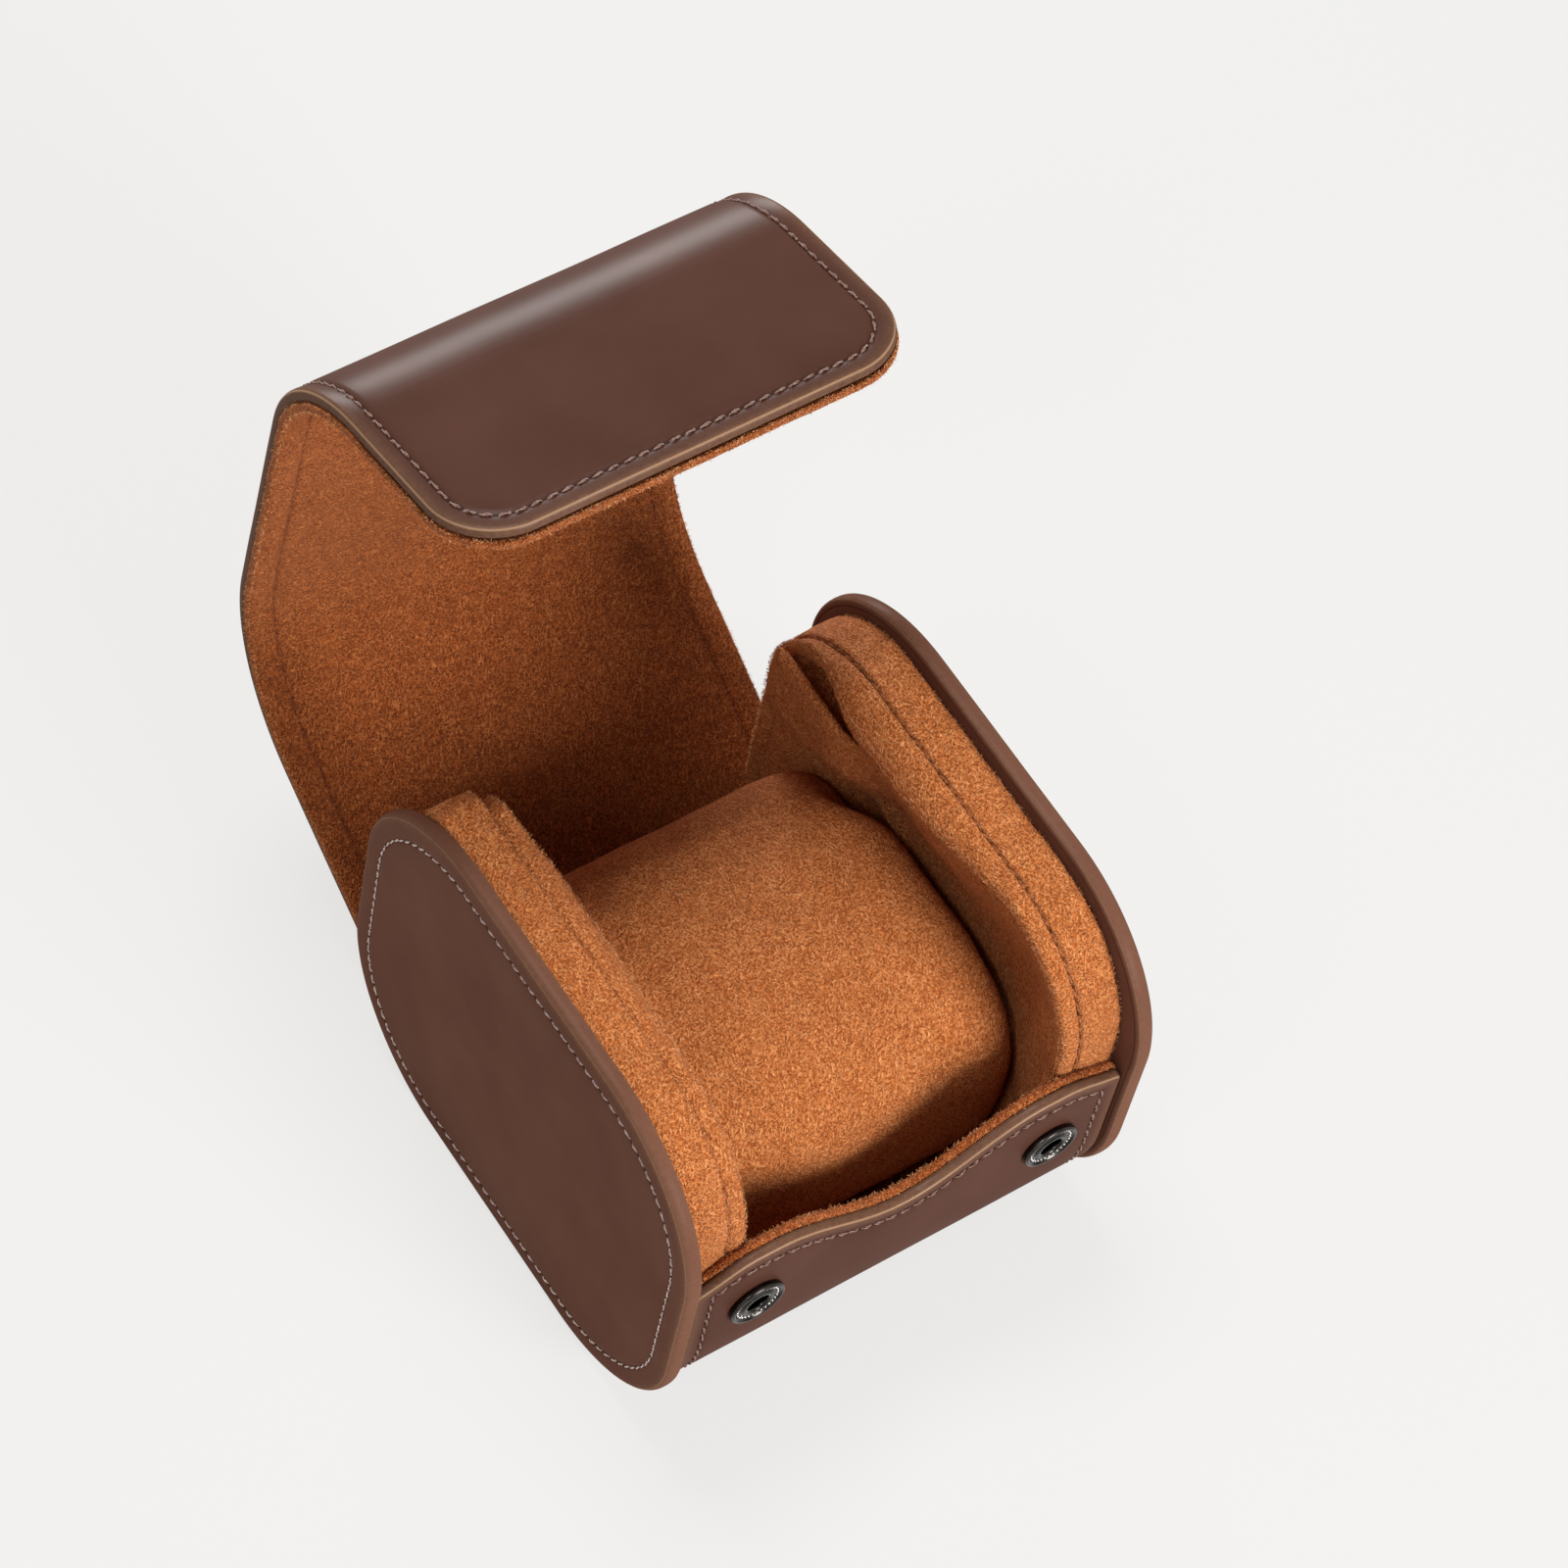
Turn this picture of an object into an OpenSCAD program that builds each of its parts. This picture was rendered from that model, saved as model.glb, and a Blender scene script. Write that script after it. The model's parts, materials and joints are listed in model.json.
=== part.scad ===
// Travel case for one wristwatch: two padded end panels, suede side walls and a
// leather-covered wrap that runs up the front, under the bottom and over the back,
// top and front flap as a soft-hinged lid. Two snap fasteners hold the flap shut.
// X runs across the case, the front faces -Y and +Z is up; the origin is on the
// ground under the middle of the case. The lid is drawn shut and then folded open.

/* [Case] */
// Width over both end panels
case_w = 90; // [84:1:104]
// Depth of the end panels
case_d = 96; // [90:1:108]
// Height of the end panels
case_h = 79; // [75:1:90]
// Corner radius of the end panels
corner_r = 28; // [24:0.5:31]

/* [End panels] */
// Thickness of an end panel, which is also the width of its rolled edge
end_t = 3.4; // [3:0.1:5]
// Leather over the face of an end panel
end_skin_t = 0.9; // [0.6:0.1:1.1]
// Foam between the leather and the board of an end panel
end_foam_t = 0.5; // [0.3:0.1:0.8]
// Width of the leather turned in over the inner face of an end panel
turn_in_w = 12; // [8:1:18]

/* [Wrap] */
// Leather of the wrap
leather_t = 1.1; // [0.8:0.1:1.4]
// Board inside the wrap
board_t = 1.5; // [1.2:0.1:2.5]
// Suede lining of the wrap
lining_t = 1; // [0.6:0.1:1.5]
// Leather left beside the boards, at the wrap's edges
edge_t = 1.1; // [0.8:0.1:2]
// How far the front panel sits behind the end panels' edges
front_inset = 1.4; // [0.8:0.1:2.5]
// How far the lid sits inside the end panels' edges when shut
lid_inset = 0.7; // [0.3:0.1:1.5]
// Gap between the wrap and each end panel
side_gap = 0.4; // [0.3:0.1:0.8]

/* [Front panel] */
// Height of the front panel at its ends
front_end_z = 47.8; // [42:0.5:52]
// Rise of the two humps over the ends of the front panel
hump_rise = 3; // [0:0.5:5]
// Distance from the middle of the case to each hump
hump_x = 28; // [22:0.5:32]
// Depth of the scoop below the humps
scoop_depth = 8.5; // [3:0.5:12]

/* [Lid] */
// Angle that the lid swings back at its hinge
lid_open = 60.5; // [40:0.5:66]
// Angle that the back crease relaxes when the lid is open
back_open = 24.5; // [10:0.5:30]
// Angle that the front crease relaxes when the flap is loose
flap_open = 19; // [10:0.5:25]
// Angle round the lower back corner where the body's board ends
hinge_start = 30; // [20:1:40]
// Angle round the lower back corner where the hinge folds
hinge_fold = 59.5; // [50:0.5:65]
// Radius of the lid's front bend when shut
bend_r = 22; // [16:0.5:26]
// Height of the flap's free edge when shut
flap_end_z = 23; // [18:0.5:26]
// Radius of the flap's two free corners
flap_corner_r = 12; // [6:0.5:16]
// Gap between the shut flap and the front panel, which the snaps stand in
flap_gap = 2.2; // [2:0.1:3]

/* [Side walls] */
// Width of the suede band next to each end panel
band_w = 8; // [5:0.5:10]
// Width of the suede lip inside each band
lip_w = 3.5; // [2.5:0.5:6]
// Depth of the lip, measured in from the band's face
lip_depth = 5; // [3.5:0.5:8]
// Suede over the side walls
suede_t = 0.9; // [0.6:0.1:1.2]
// Depth of the dish in each inner pad
dish_depth = 2.6; // [1:0.2:3.4]
// Gap between the side walls and the lid that closes over them
lid_clear = 0.4; // [0.3:0.1:1]

/* [Cushion] */
// Depth of the cushion, front to back
cushion_d = 70; // [56:1:76]
// Height of the cushion
cushion_h = 49; // [40:1:54]
// Gap between the cushion and each side wall
cushion_gap = 0.4; // [0.3:0.1:2]
// Thickness of the cushion's suede cover
cover_t = 1.4; // [1:0.1:2]

/* [Snaps] */
// Distance between the two snaps
snap_pitch = 57.2; // [40:0.2:62]
// Height of the snaps
snap_z = 36.2; // [34:0.2:38]
// Outer radius of a snap socket
socket_r = 5.05; // [4.6:0.05:5.6]
// Height that a snap socket stands off the front panel
socket_h = 1.3; // [1.3:0.05:1.5]
// Radius of the hole in a snap socket
socket_hole_r = 2; // [1.9:0.05:2.2]
// Radius of a snap stud's head
stud_r = 1.7; // [1.5:0.05:1.75]
// Height of a snap stud
stud_h = 2.9; // [2.5:0.1:3]

/* [Hidden] */
$fn = 96;
LEFT = -1;
RIGHT = 1;
LEATHER = "#5a3d33";
SUEDE = "#b5652b";
BOARD = "#8f8578";
FOAM = "#d8d2c4";
GUNMETAL = "#3c3b3d";

// A cut that has to pass through a face runs on by this much
past = 1;
// A cut or mask that only has to clear the whole case is this long
far = 200;

// Depths of the wrap's layers, measured in from its outer face
board_d = leather_t;
lining_d = leather_t + board_t;
wrap_t = leather_t + board_t + lining_t;

// Outer face of the wrap: front, back, bottom, top and corner radius
wrap_front = -case_d / 2 + front_inset;
wrap_back = case_d / 2 - lid_inset;
wrap_top = case_h - lid_inset;
wrap_r = corner_r - lid_inset;
wrap_half = case_w / 2 - end_t - side_gap;
inner_half = wrap_half - edge_t;
flap_face = wrap_front - flap_gap - wrap_t;

// Outer face of the side walls, which stand on the lining under the shut lid
wall_seat = 0.2;
wall_front = wrap_front + wrap_t + wall_seat;
wall_back = wrap_back - wrap_t - lid_clear;
wall_bottom = wrap_t + wall_seat;
wall_top = wrap_top - wrap_t - lid_clear;
wall_r = wrap_r - wrap_t - lid_clear;

// Stations across the case; the lip's rim and the pad's face sit back from the band
end_inner = case_w / 2 - end_t;
seam_x = end_inner - band_w;
lip_x = seam_x - lip_w;
lip_sink = 0.3;
pad_sink = 0.6;
pad_back_t = 2;
dish_rim = 1;
pad_x = lip_x + pad_sink;
core_x = pad_x + dish_depth + pad_back_t;
glue_gap = 0.1;

// Centres of the wrap's corners, and the axes that the lid folds about
low_corner = [wrap_back - wrap_r, wrap_r];
top_corner = [wrap_back - wrap_r, wrap_top - wrap_r];
front_corner = [flap_face + bend_r, wrap_top - bend_r];
fold_d = wrap_t / 2;
hinge_axis = low_corner + (wrap_r - fold_d) * [sin(hinge_fold), -cos(hinge_fold)];
back_axis = top_corner + (wrap_r - fold_d) * [sin(45), cos(45)];
front_axis = front_corner + (bend_r - fold_d) * [-sin(45), cos(45)];

// Points of a [y, z] outline turned about a centre, and each lid panel's open place
function turned(p, c, a) = c + [(p[0] - c[0]) * cos(a) - (p[1] - c[1]) * sin(a),
    (p[0] - c[0]) * sin(a) + (p[1] - c[1]) * cos(a)];
function on_back(p) = turned(p, hinge_axis, -lid_open);
function on_top(p) = on_back(turned(p, back_axis, -back_open));
function on_flap(p) = on_top(turned(p, front_axis, -flap_open));

// A point on a smooth bend that leaves p0 along angle a0 and meets p1 along angle a1,
// at depth d in from the outer face
bend_steps = 14;
bend_pull = 0.36;
function heading(a) = [cos(a), sin(a)];
function bend_point(p0, q0, q1, p1, t) = pow(1 - t, 3) * p0 + 3 * pow(1 - t, 2) * t * q0
    + 3 * (1 - t) * t * t * q1 + pow(t, 3) * p1;
function bend_slope(p0, q0, q1, p1, t) = pow(1 - t, 2) * (q0 - p0)
    + 2 * (1 - t) * t * (q1 - q0) + t * t * (p1 - q1);
function bend_line(p0, a0, p1, a1, d) =
    let (pull = norm(p1 - p0) * bend_pull)
    let (q0 = p0 + pull * heading(a0), q1 = p1 - pull * heading(a1))
    [for (i = [0:bend_steps])
        let (t = i / bend_steps, s = bend_slope(p0, q0, q1, p1, t))
        bend_point(p0, q0, q1, p1, t) + d * [-s[1], s[0]] / norm(s)];

// Height of the front panel's top edge at x: low ends, two humps and a scoop between
edge_steps = 30;
hump_flat = 2;
lining_drop = 0.3;
function smooth_step(t) = (1 - cos(180 * max(0, min(1, t)))) / 2;
function front_edge(x) = front_end_z
    + hump_rise * smooth_step((wrap_half - abs(x)) / (wrap_half - hump_x - hump_flat))
    - scoop_depth * smooth_step((hump_x - hump_flat - abs(x)) / (hump_x - hump_flat));

// Snap layout, and the rivets that hold the snaps
snap_x = snap_pitch / 2;
rivet_wall = 0.45;
rivet_r = socket_hole_r + rivet_wall;
rivet_fit = 0.05;
rivet_head_r = 4.2;
rivet_head_t = 0.4;
pin_r = 0.8;
pin_fit = 0.05;
pin_sink = 0.2;

// Profile of a snap socket: rolled rim, sunk ring and collar, and its ring spring
socket_base_t = 0.4;
socket_foot = 0.4;
socket_edge = 0.25;
rim_w = 0.75;
rim_h = 0.5;
collar_w = 1;
collar_edge = 0.2;
collar_drop = 0.1;
spring_wire_r = 0.2;
spring_fit = 0.02;
spring_z = 0.78;

// Profile of a snap stud: flat base, neck and flared head
stud_base_r = 4.5;
stud_base_t = 0.4;
stud_edge = 0.3;
stud_undercut = 0.3;
stud_neck_r = stud_r - stud_undercut;
stud_head_h = 1.3;
stud_flare_h = 0.4;
stud_nose = 0.5;

// Cushion form: powers of its rounded section and of its drawn-in ends
cushion_w = 2 * (lip_x - cushion_gap);
cushion_seat = 0.3;
cushion_rest = wrap_t + cushion_seat;
section_power = 2.8;
end_power = 6;
section_points = 32;
cushion_rings = 12;

module along_x(x0, x1)
    translate([x0, 0, 0]) rotate([90, 0, 90]) linear_extrude(x1 - x0) children();

module rounded(y0, y1, z0, z1, r) {
    translate([y0 + r, z0]) square([y1 - y0 - 2 * r, z1 - z0]);
    translate([y0, z0 + r]) square([y1 - y0, z1 - z0 - 2 * r]);
    for (y = [y0 + r, y1 - r], z = [z0 + r, z1 - r]) translate([y, z]) circle(r);
}

module end_outline(inset)
    rounded(-case_d / 2 + inset, case_d / 2 - inset, inset, case_h - inset, corner_r - inset);

module wall_outline(inset)
    rounded(wall_front + inset, wall_back - inset, wall_bottom + inset, wall_top - inset,
        wall_r - inset);

module wrap_outline(inset)
    rounded(wrap_front + inset, wrap_back - inset, inset, wrap_top - inset, wrap_r - inset);

// Mirrors a piece drawn on the right to the side wanted
module on_side(side) mirror([side == LEFT ? 1 : 0, 0, 0]) children();

// ---- end panels ----

// A plate whose whole edge is rolled to a half round
module rolled_plate() {
    r = end_t / 2;
    x = case_w / 2 - r;
    along_x(end_inner, case_w / 2) end_outline(r);
    for (s = [-1, 1]) {
        translate([x, s * (case_d / 2 - r), corner_r]) cylinder(r = r, h = case_h - 2 * corner_r);
        translate([x, 0, case_h / 2 + s * (case_h / 2 - r)]) rotate([90, 0, 0])
            cylinder(r = r, h = case_d - 2 * corner_r, center = true);
    }
    for (i = [0:3]) {
        y = (i == 0 || i == 3 ? 1 : -1) * (case_d / 2 - corner_r);
        z = i < 2 ? case_h - corner_r : corner_r;
        translate([x, y, z]) rotate([90, 0, 90]) rotate([0, 0, 90 * i])
            rotate_extrude(angle = 90) translate([corner_r - r, 0]) circle(r, $fn = 48);
    }
}

end_board_x = end_inner + end_skin_t;
end_foam_x = case_w / 2 - end_skin_t - end_foam_t;

module end_leather(side) color(LEATHER) on_side(side) difference() {
    rolled_plate();
    along_x(end_board_x, case_w / 2 - end_skin_t) end_outline(end_t / 2);
    along_x(end_inner - past, end_board_x + past) end_outline(turn_in_w);
}

module end_padding(side) color(FOAM) on_side(side)
    along_x(end_foam_x, case_w / 2 - end_skin_t) end_outline(end_t / 2);

module end_board(side) color(BOARD) on_side(side)
    along_x(end_board_x, end_foam_x) end_outline(end_t / 2);

// ---- suede side walls ----

module side_core(side) color(FOAM) on_side(side) difference() {
    along_x(seam_x, end_inner - glue_gap) wall_outline(suede_t);
    along_x(seam_x - past, core_x) wall_outline(lip_depth);
}

module side_band(side) color(SUEDE) on_side(side) difference() {
    along_x(seam_x, end_inner - glue_gap) wall_outline(0);
    along_x(seam_x - past, end_inner) wall_outline(suede_t);
}

module side_lip(side) color(SUEDE) on_side(side) difference() {
    along_x(lip_x, seam_x) wall_outline(lip_sink);
    along_x(lip_x - past, seam_x + past) wall_outline(lip_depth);
}

module side_pad(side) color(SUEDE) on_side(side) difference() {
    reach = (wall_top - wall_bottom) / 2 - lip_depth - dish_rim;
    dish_r = (reach * reach + dish_depth * dish_depth) / (2 * dish_depth);
    along_x(pad_x, core_x) wall_outline(lip_depth + glue_gap);
    translate([pad_x + dish_depth - dish_r, (wall_front + wall_back) / 2,
        (wall_bottom + wall_top) / 2]) sphere(dish_r, $fn = 360);
}

// ---- body wrap: front panel, bottom and lower back ----

// The part of the wrap's outline that belongs to the body
module body_span() {
    translate([-far, -far]) square([far + low_corner[0], far + low_corner[1]]);
    translate([-far, low_corner[1] - past]) square([far + wall_front + wrap_r / 2, far]);
    polygon([low_corner, low_corner - [0, far],
        low_corner + far * [sin(hinge_start), -cos(hinge_start)]]);
}

module body_layer(d0, d1) intersection() {
    difference() {
        wrap_outline(d0);
        wrap_outline(d1);
    }
    body_span();
}

// Everything over the front panel's top edge, lowered by drop
module over_front_edge(drop, half) {
    edge = [for (i = [-edge_steps:edge_steps]) half * i / edge_steps];
    rows = [for (x = edge) [x, front_edge(x) - drop]];
    rotate([90, 0, 0]) linear_extrude(far)
        polygon(concat([[-far, far], [-far, rows[0][1]]], rows,
            [[far, rows[2 * edge_steps][1]], [far, far]]));
}

module at_snaps(face, flip = false)
    for (s = [-1, 1]) translate([s * snap_x, face, snap_z]) rotate([flip ? -90 : 90, 0, 0])
        children();

module body_leather() color(LEATHER) difference() {
    along_x(-wrap_half, wrap_half) body_layer(0, wrap_t);
    over_front_edge(0, wrap_half);
    difference() {
        along_x(-inner_half, inner_half) body_layer(board_d, wrap_t + past);
        over_front_edge(leather_t, wrap_half);
    }
    along_x(-wrap_half - past, wrap_half + past) body_layer(lining_d, wrap_t + past);
    at_snaps(wrap_front) cylinder(r = rivet_r + rivet_fit, h = far, center = true);
}

module body_board() color(BOARD) difference() {
    along_x(-inner_half, inner_half) body_layer(board_d, lining_d);
    over_front_edge(leather_t, wrap_half);
    at_snaps(wrap_front) cylinder(r = rivet_r + rivet_fit, h = far, center = true);
    at_snaps(wrap_front + lining_d)
        cylinder(r = rivet_head_r + rivet_fit, h = 2 * rivet_head_t, center = true);
}

module body_lining() color(SUEDE) difference() {
    along_x(-wrap_half, wrap_half) body_layer(lining_d, wrap_t);
    over_front_edge(lining_drop, wrap_half);
}

// ---- snaps ----

module snap_sockets() color(GUNMETAL) at_snaps(wrap_front) rotate_extrude() difference() {
    polygon([[socket_hole_r, socket_base_t], [rivet_r + rivet_fit, socket_base_t],
        [rivet_r + rivet_fit, 0], [socket_r - socket_foot, 0], [socket_r, socket_foot],
        [socket_r, socket_h - socket_edge], [socket_r - socket_edge, socket_h],
        [socket_r - rim_w, socket_h], [socket_r - rim_w - socket_edge, socket_h - rim_h],
        [socket_hole_r + collar_w, socket_h - rim_h],
        [socket_hole_r + collar_w - collar_edge, socket_h - collar_drop],
        [socket_hole_r + collar_edge, socket_h - collar_drop],
        [socket_hole_r, socket_h - collar_drop - collar_edge]]);
    translate([0, spring_z - spring_wire_r])
        square([socket_hole_r + 2 * (spring_wire_r + spring_fit), 2 * spring_wire_r]);
}

module snap_springs() color(GUNMETAL) at_snaps(wrap_front) rotate_extrude()
    translate([socket_hole_r + spring_wire_r + spring_fit, spring_z])
        circle(spring_wire_r, $fn = 24);

module socket_rivets() color(GUNMETAL) at_snaps(wrap_front) difference() {
    translate([0, 0, -lining_d]) {
        cylinder(r = rivet_head_r, h = rivet_head_t);
        cylinder(r = rivet_r, h = lining_d + socket_base_t - rivet_fit);
    }
    translate([0, 0, -lining_d - past]) cylinder(r = socket_hole_r, h = lining_d + 2 * past);
}

module snap_studs() color(GUNMETAL) in_flap() at_snaps(flap_face + wrap_t, flip = true)
    rotate_extrude() polygon([[pin_r + pin_fit, 0], [stud_base_r, 0],
        [stud_base_r, stud_base_t / 2], [stud_base_r - stud_edge, stud_base_t],
        [stud_neck_r + stud_edge, stud_base_t], [stud_neck_r, stud_base_t + stud_edge],
        [stud_neck_r, stud_h - stud_head_h], [stud_r, stud_h - stud_head_h + stud_flare_h],
        [stud_r, stud_h - stud_nose], [stud_r - stud_nose, stud_h],
        [pin_r + pin_fit, stud_h]]);

module stud_rivets() color(GUNMETAL) in_flap() at_snaps(flap_face + board_d, flip = true) {
    cylinder(r = rivet_head_r, h = rivet_head_t);
    cylinder(r = pin_r, h = board_t + lining_t + stud_h - pin_sink);
}

// ---- lid ----

module fold(axis, angle)
    translate([0, axis[0], axis[1]]) rotate([angle, 0, 0])
        translate([0, -axis[0], -axis[1]]) children();

module in_back() fold(hinge_axis, -lid_open) children();
module in_top() in_back() fold(back_axis, -back_open) children();
module in_flap() in_top() fold(front_axis, -flap_open) children();

// Layers of the lid's three panels, drawn shut, between two depths; a cut runs on by over
module back_layer(d0, d1, half, over = 0) along_x(-half, half)
    translate([wrap_back - d1, low_corner[1] - over])
        square([d1 - d0, top_corner[1] - low_corner[1] + 2 * over]);

module top_layer(d0, d1, half, over = 0) along_x(-half, half)
    translate([front_corner[0] - over, wrap_top - d1])
        square([top_corner[0] - front_corner[0] + 2 * over, d1 - d0]);

module flap_layer(d0, d1, inset, over = 0) {
    half = wrap_half - inset;
    r = flap_corner_r - inset;
    low = flap_end_z + inset;
    translate([0, flap_face + d1, 0]) rotate([90, 0, 0]) linear_extrude(d1 - d0) {
        translate([-half, low + r]) square([2 * half, front_corner[1] + over - low - r]);
        translate([-half + r, low]) square([2 * (half - r), r + past]);
        for (s = [-1, 1]) translate([s * (half - r), low + r]) circle(r);
    }
}

module lid_back_leather() color(LEATHER) in_back() difference() {
    back_layer(0, lining_d, wrap_half);
    back_layer(board_d, lining_d + past, inner_half, past);
}

module lid_back_board() color(BOARD) in_back() back_layer(board_d, lining_d, inner_half);

module lid_back_lining() color(SUEDE) in_back() back_layer(lining_d, wrap_t, wrap_half);

module lid_top_leather() color(LEATHER) in_top() difference() {
    top_layer(0, lining_d, wrap_half);
    top_layer(board_d, lining_d + past, inner_half, past);
}

module lid_top_board() color(BOARD) in_top() top_layer(board_d, lining_d, inner_half);

module lid_top_lining() color(SUEDE) in_top() top_layer(lining_d, wrap_t, wrap_half);

module flap_leather() color(LEATHER) in_flap() difference() {
    flap_layer(0, lining_d, 0);
    flap_layer(board_d, lining_d + past, edge_t, past);
}

module flap_board() color(BOARD) in_flap() difference() {
    flap_layer(board_d, lining_d, edge_t);
    at_snaps(flap_face + board_d)
        cylinder(r = rivet_head_r + rivet_fit, h = 2 * rivet_head_t, center = true);
    at_snaps(flap_face) cylinder(r = pin_r + pin_fit, h = far, center = true);
}

module flap_lining() color(SUEDE) in_flap() difference() {
    flap_layer(lining_d, wrap_t, 0);
    at_snaps(flap_face) cylinder(r = pin_r + pin_fit, h = far, center = true);
}

// A boardless stretch of the wrap between two panels, one layer of it
module bend(p0, a0, p1, a1, d0, d1) along_x(-wrap_half, wrap_half)
    polygon(concat(bend_line(p0, a0, p1, a1, d0),
        [for (p = [bend_line(p0, a0, p1, a1, d1)], i = [bend_steps:-1:0]) p[i]]));

module hinge_bend(d0, d1)
    bend(low_corner + wrap_r * [sin(hinge_start), -cos(hinge_start)], hinge_start,
        on_back([wrap_back, low_corner[1]]), 90 - lid_open, d0, d1);

module back_bend(d0, d1)
    bend(on_back([wrap_back, top_corner[1]]), 90 - lid_open,
        on_top([top_corner[0], wrap_top]), 180 - lid_open - back_open, d0, d1);

module front_bend(d0, d1)
    bend(on_top([front_corner[0], wrap_top]), 180 - lid_open - back_open,
        on_flap([flap_face, front_corner[1]]), 270 - lid_open - back_open - flap_open,
        d0, d1);

module hinge_leather() color(LEATHER) hinge_bend(0, leather_t);
module hinge_interlining() color(BOARD) hinge_bend(board_d, lining_d);
module hinge_lining() color(SUEDE) hinge_bend(lining_d, wrap_t);
module back_crease_leather() color(LEATHER) back_bend(0, leather_t);
module back_crease_interlining() color(BOARD) back_bend(board_d, lining_d);
module back_crease_lining() color(SUEDE) back_bend(lining_d, wrap_t);
module front_crease_leather() color(LEATHER) front_bend(0, leather_t);
module front_crease_interlining() color(BOARD) front_bend(board_d, lining_d);
module front_crease_lining() color(SUEDE) front_bend(lining_d, wrap_t);

// ---- cushion ----

function rounded_power(c, power) = sign(c) * pow(abs(c), 2 / power);

// A crowned roll with drawn-in ends, shrunk by inset on every side
module cushion_form(inset) {
    a = [cushion_w / 2 - inset, cushion_d / 2 - inset, cushion_h / 2 - inset];
    n = section_points;
    rings = [for (i = [1:cushion_rings]) let (u = -90 + 180 * i / (cushion_rings + 1))
        for (j = [0:n - 1]) let (v = 360 * j / n, s = rounded_power(cos(u), end_power))
            [a[0] * rounded_power(sin(u), end_power),
            a[1] * s * rounded_power(cos(v), section_power),
            a[2] * s * rounded_power(sin(v), section_power)]];
    poles = [[-a[0], 0, 0], [a[0], 0, 0]];
    first = cushion_rings * n;
    last = (cushion_rings - 1) * n;
    caps = [for (j = [0:n - 1]) each [[first, j, (j + 1) % n],
        [first + 1, last + (j + 1) % n, last + j]]];
    walls = [for (i = [0:cushion_rings - 2], j = [0:n - 1])
        let (p = i * n + j, q = i * n + (j + 1) % n) each [[p, p + n, q + n], [p, q + n, q]]];
    translate([0, 0, cushion_rest + cushion_h / 2])
        polyhedron(concat(rings, poles), concat(caps, walls));
}

module cushion_cover() color(SUEDE) difference() {
    cushion_form(0);
    cushion_form(cover_t);
}

module cushion_filling() color(FOAM) cushion_form(cover_t + glue_gap);

end_leather(LEFT);  // left_end_leather
end_padding(LEFT);  // left_end_padding
end_board(LEFT);  // left_end_board
end_leather(RIGHT);  // right_end_leather
end_padding(RIGHT);  // right_end_padding
end_board(RIGHT);  // right_end_board
side_core(LEFT);  // left_side_core
side_band(LEFT);  // left_side_band
side_lip(LEFT);  // left_side_lip
side_pad(LEFT);  // left_side_pad
side_core(RIGHT);  // right_side_core
side_band(RIGHT);  // right_side_band
side_lip(RIGHT);  // right_side_lip
side_pad(RIGHT);  // right_side_pad
body_leather();
body_board();
body_lining();
snap_sockets();
snap_springs();
socket_rivets();
hinge_leather();
hinge_interlining();
hinge_lining();
lid_back_leather();
lid_back_board();
lid_back_lining();
back_crease_leather();
back_crease_interlining();
back_crease_lining();
lid_top_leather();
lid_top_board();
lid_top_lining();
front_crease_leather();
front_crease_interlining();
front_crease_lining();
flap_leather();
flap_board();
flap_lining();
snap_studs();
stud_rivets();
cushion_cover();
cushion_filling();
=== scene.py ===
"""Looks of the watch travel case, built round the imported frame. Lengths are in
millimetres in the frame of the CAD, and become metres where a mesh is made."""
import json
import math

import bmesh
import bpy
import numpy as np
from mathutils import Matrix, Vector, noise

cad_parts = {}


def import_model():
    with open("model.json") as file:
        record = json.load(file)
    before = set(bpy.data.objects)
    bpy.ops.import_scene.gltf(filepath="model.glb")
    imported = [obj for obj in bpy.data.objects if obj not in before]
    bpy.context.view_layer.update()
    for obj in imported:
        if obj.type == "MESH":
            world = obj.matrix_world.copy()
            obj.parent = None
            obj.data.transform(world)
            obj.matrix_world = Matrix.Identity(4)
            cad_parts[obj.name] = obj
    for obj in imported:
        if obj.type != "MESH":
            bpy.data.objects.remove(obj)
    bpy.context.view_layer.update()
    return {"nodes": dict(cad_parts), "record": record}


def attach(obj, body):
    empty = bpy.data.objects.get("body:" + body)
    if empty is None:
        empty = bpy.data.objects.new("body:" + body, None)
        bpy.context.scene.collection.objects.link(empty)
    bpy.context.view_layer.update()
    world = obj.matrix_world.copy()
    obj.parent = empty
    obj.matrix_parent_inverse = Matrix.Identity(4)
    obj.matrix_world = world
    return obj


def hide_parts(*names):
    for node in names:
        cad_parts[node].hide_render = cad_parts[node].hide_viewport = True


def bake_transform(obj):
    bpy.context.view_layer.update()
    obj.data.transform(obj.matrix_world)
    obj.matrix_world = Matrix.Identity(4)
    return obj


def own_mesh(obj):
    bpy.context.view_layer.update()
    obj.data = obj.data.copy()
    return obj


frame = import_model()
MM = 0.001
random = np.random.default_rng(7)

# ---- driving sizes, the same as the frame's ----
CASE_W, CASE_D, CASE_H, CORNER_R = 90, 96, 79, 28
END_T = 3.4
LEATHER_T, BOARD_T, LINING_T, EDGE_T = 1.1, 1.5, 1.0, 1.1
FRONT_INSET, LID_INSET, SIDE_GAP = 1.4, 0.7, 0.4
FRONT_END_Z, HUMP_RISE, HUMP_X, HUMP_FLAT, SCOOP_DEPTH = 47.8, 3, 28, 2, 8.5
LID_OPEN, BACK_OPEN, FLAP_OPEN = 60.5, 24.5, 19
HINGE_START, HINGE_FOLD, BEND_R, BEND_PULL, BEND_MID = 30, 59.5, 22, 0.36, 135
FLAP_END_Z, FLAP_CORNER_R, FLAP_GAP = 23, 12, 2.2
BAND_W, LIP_W = 8, 3.5
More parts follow.
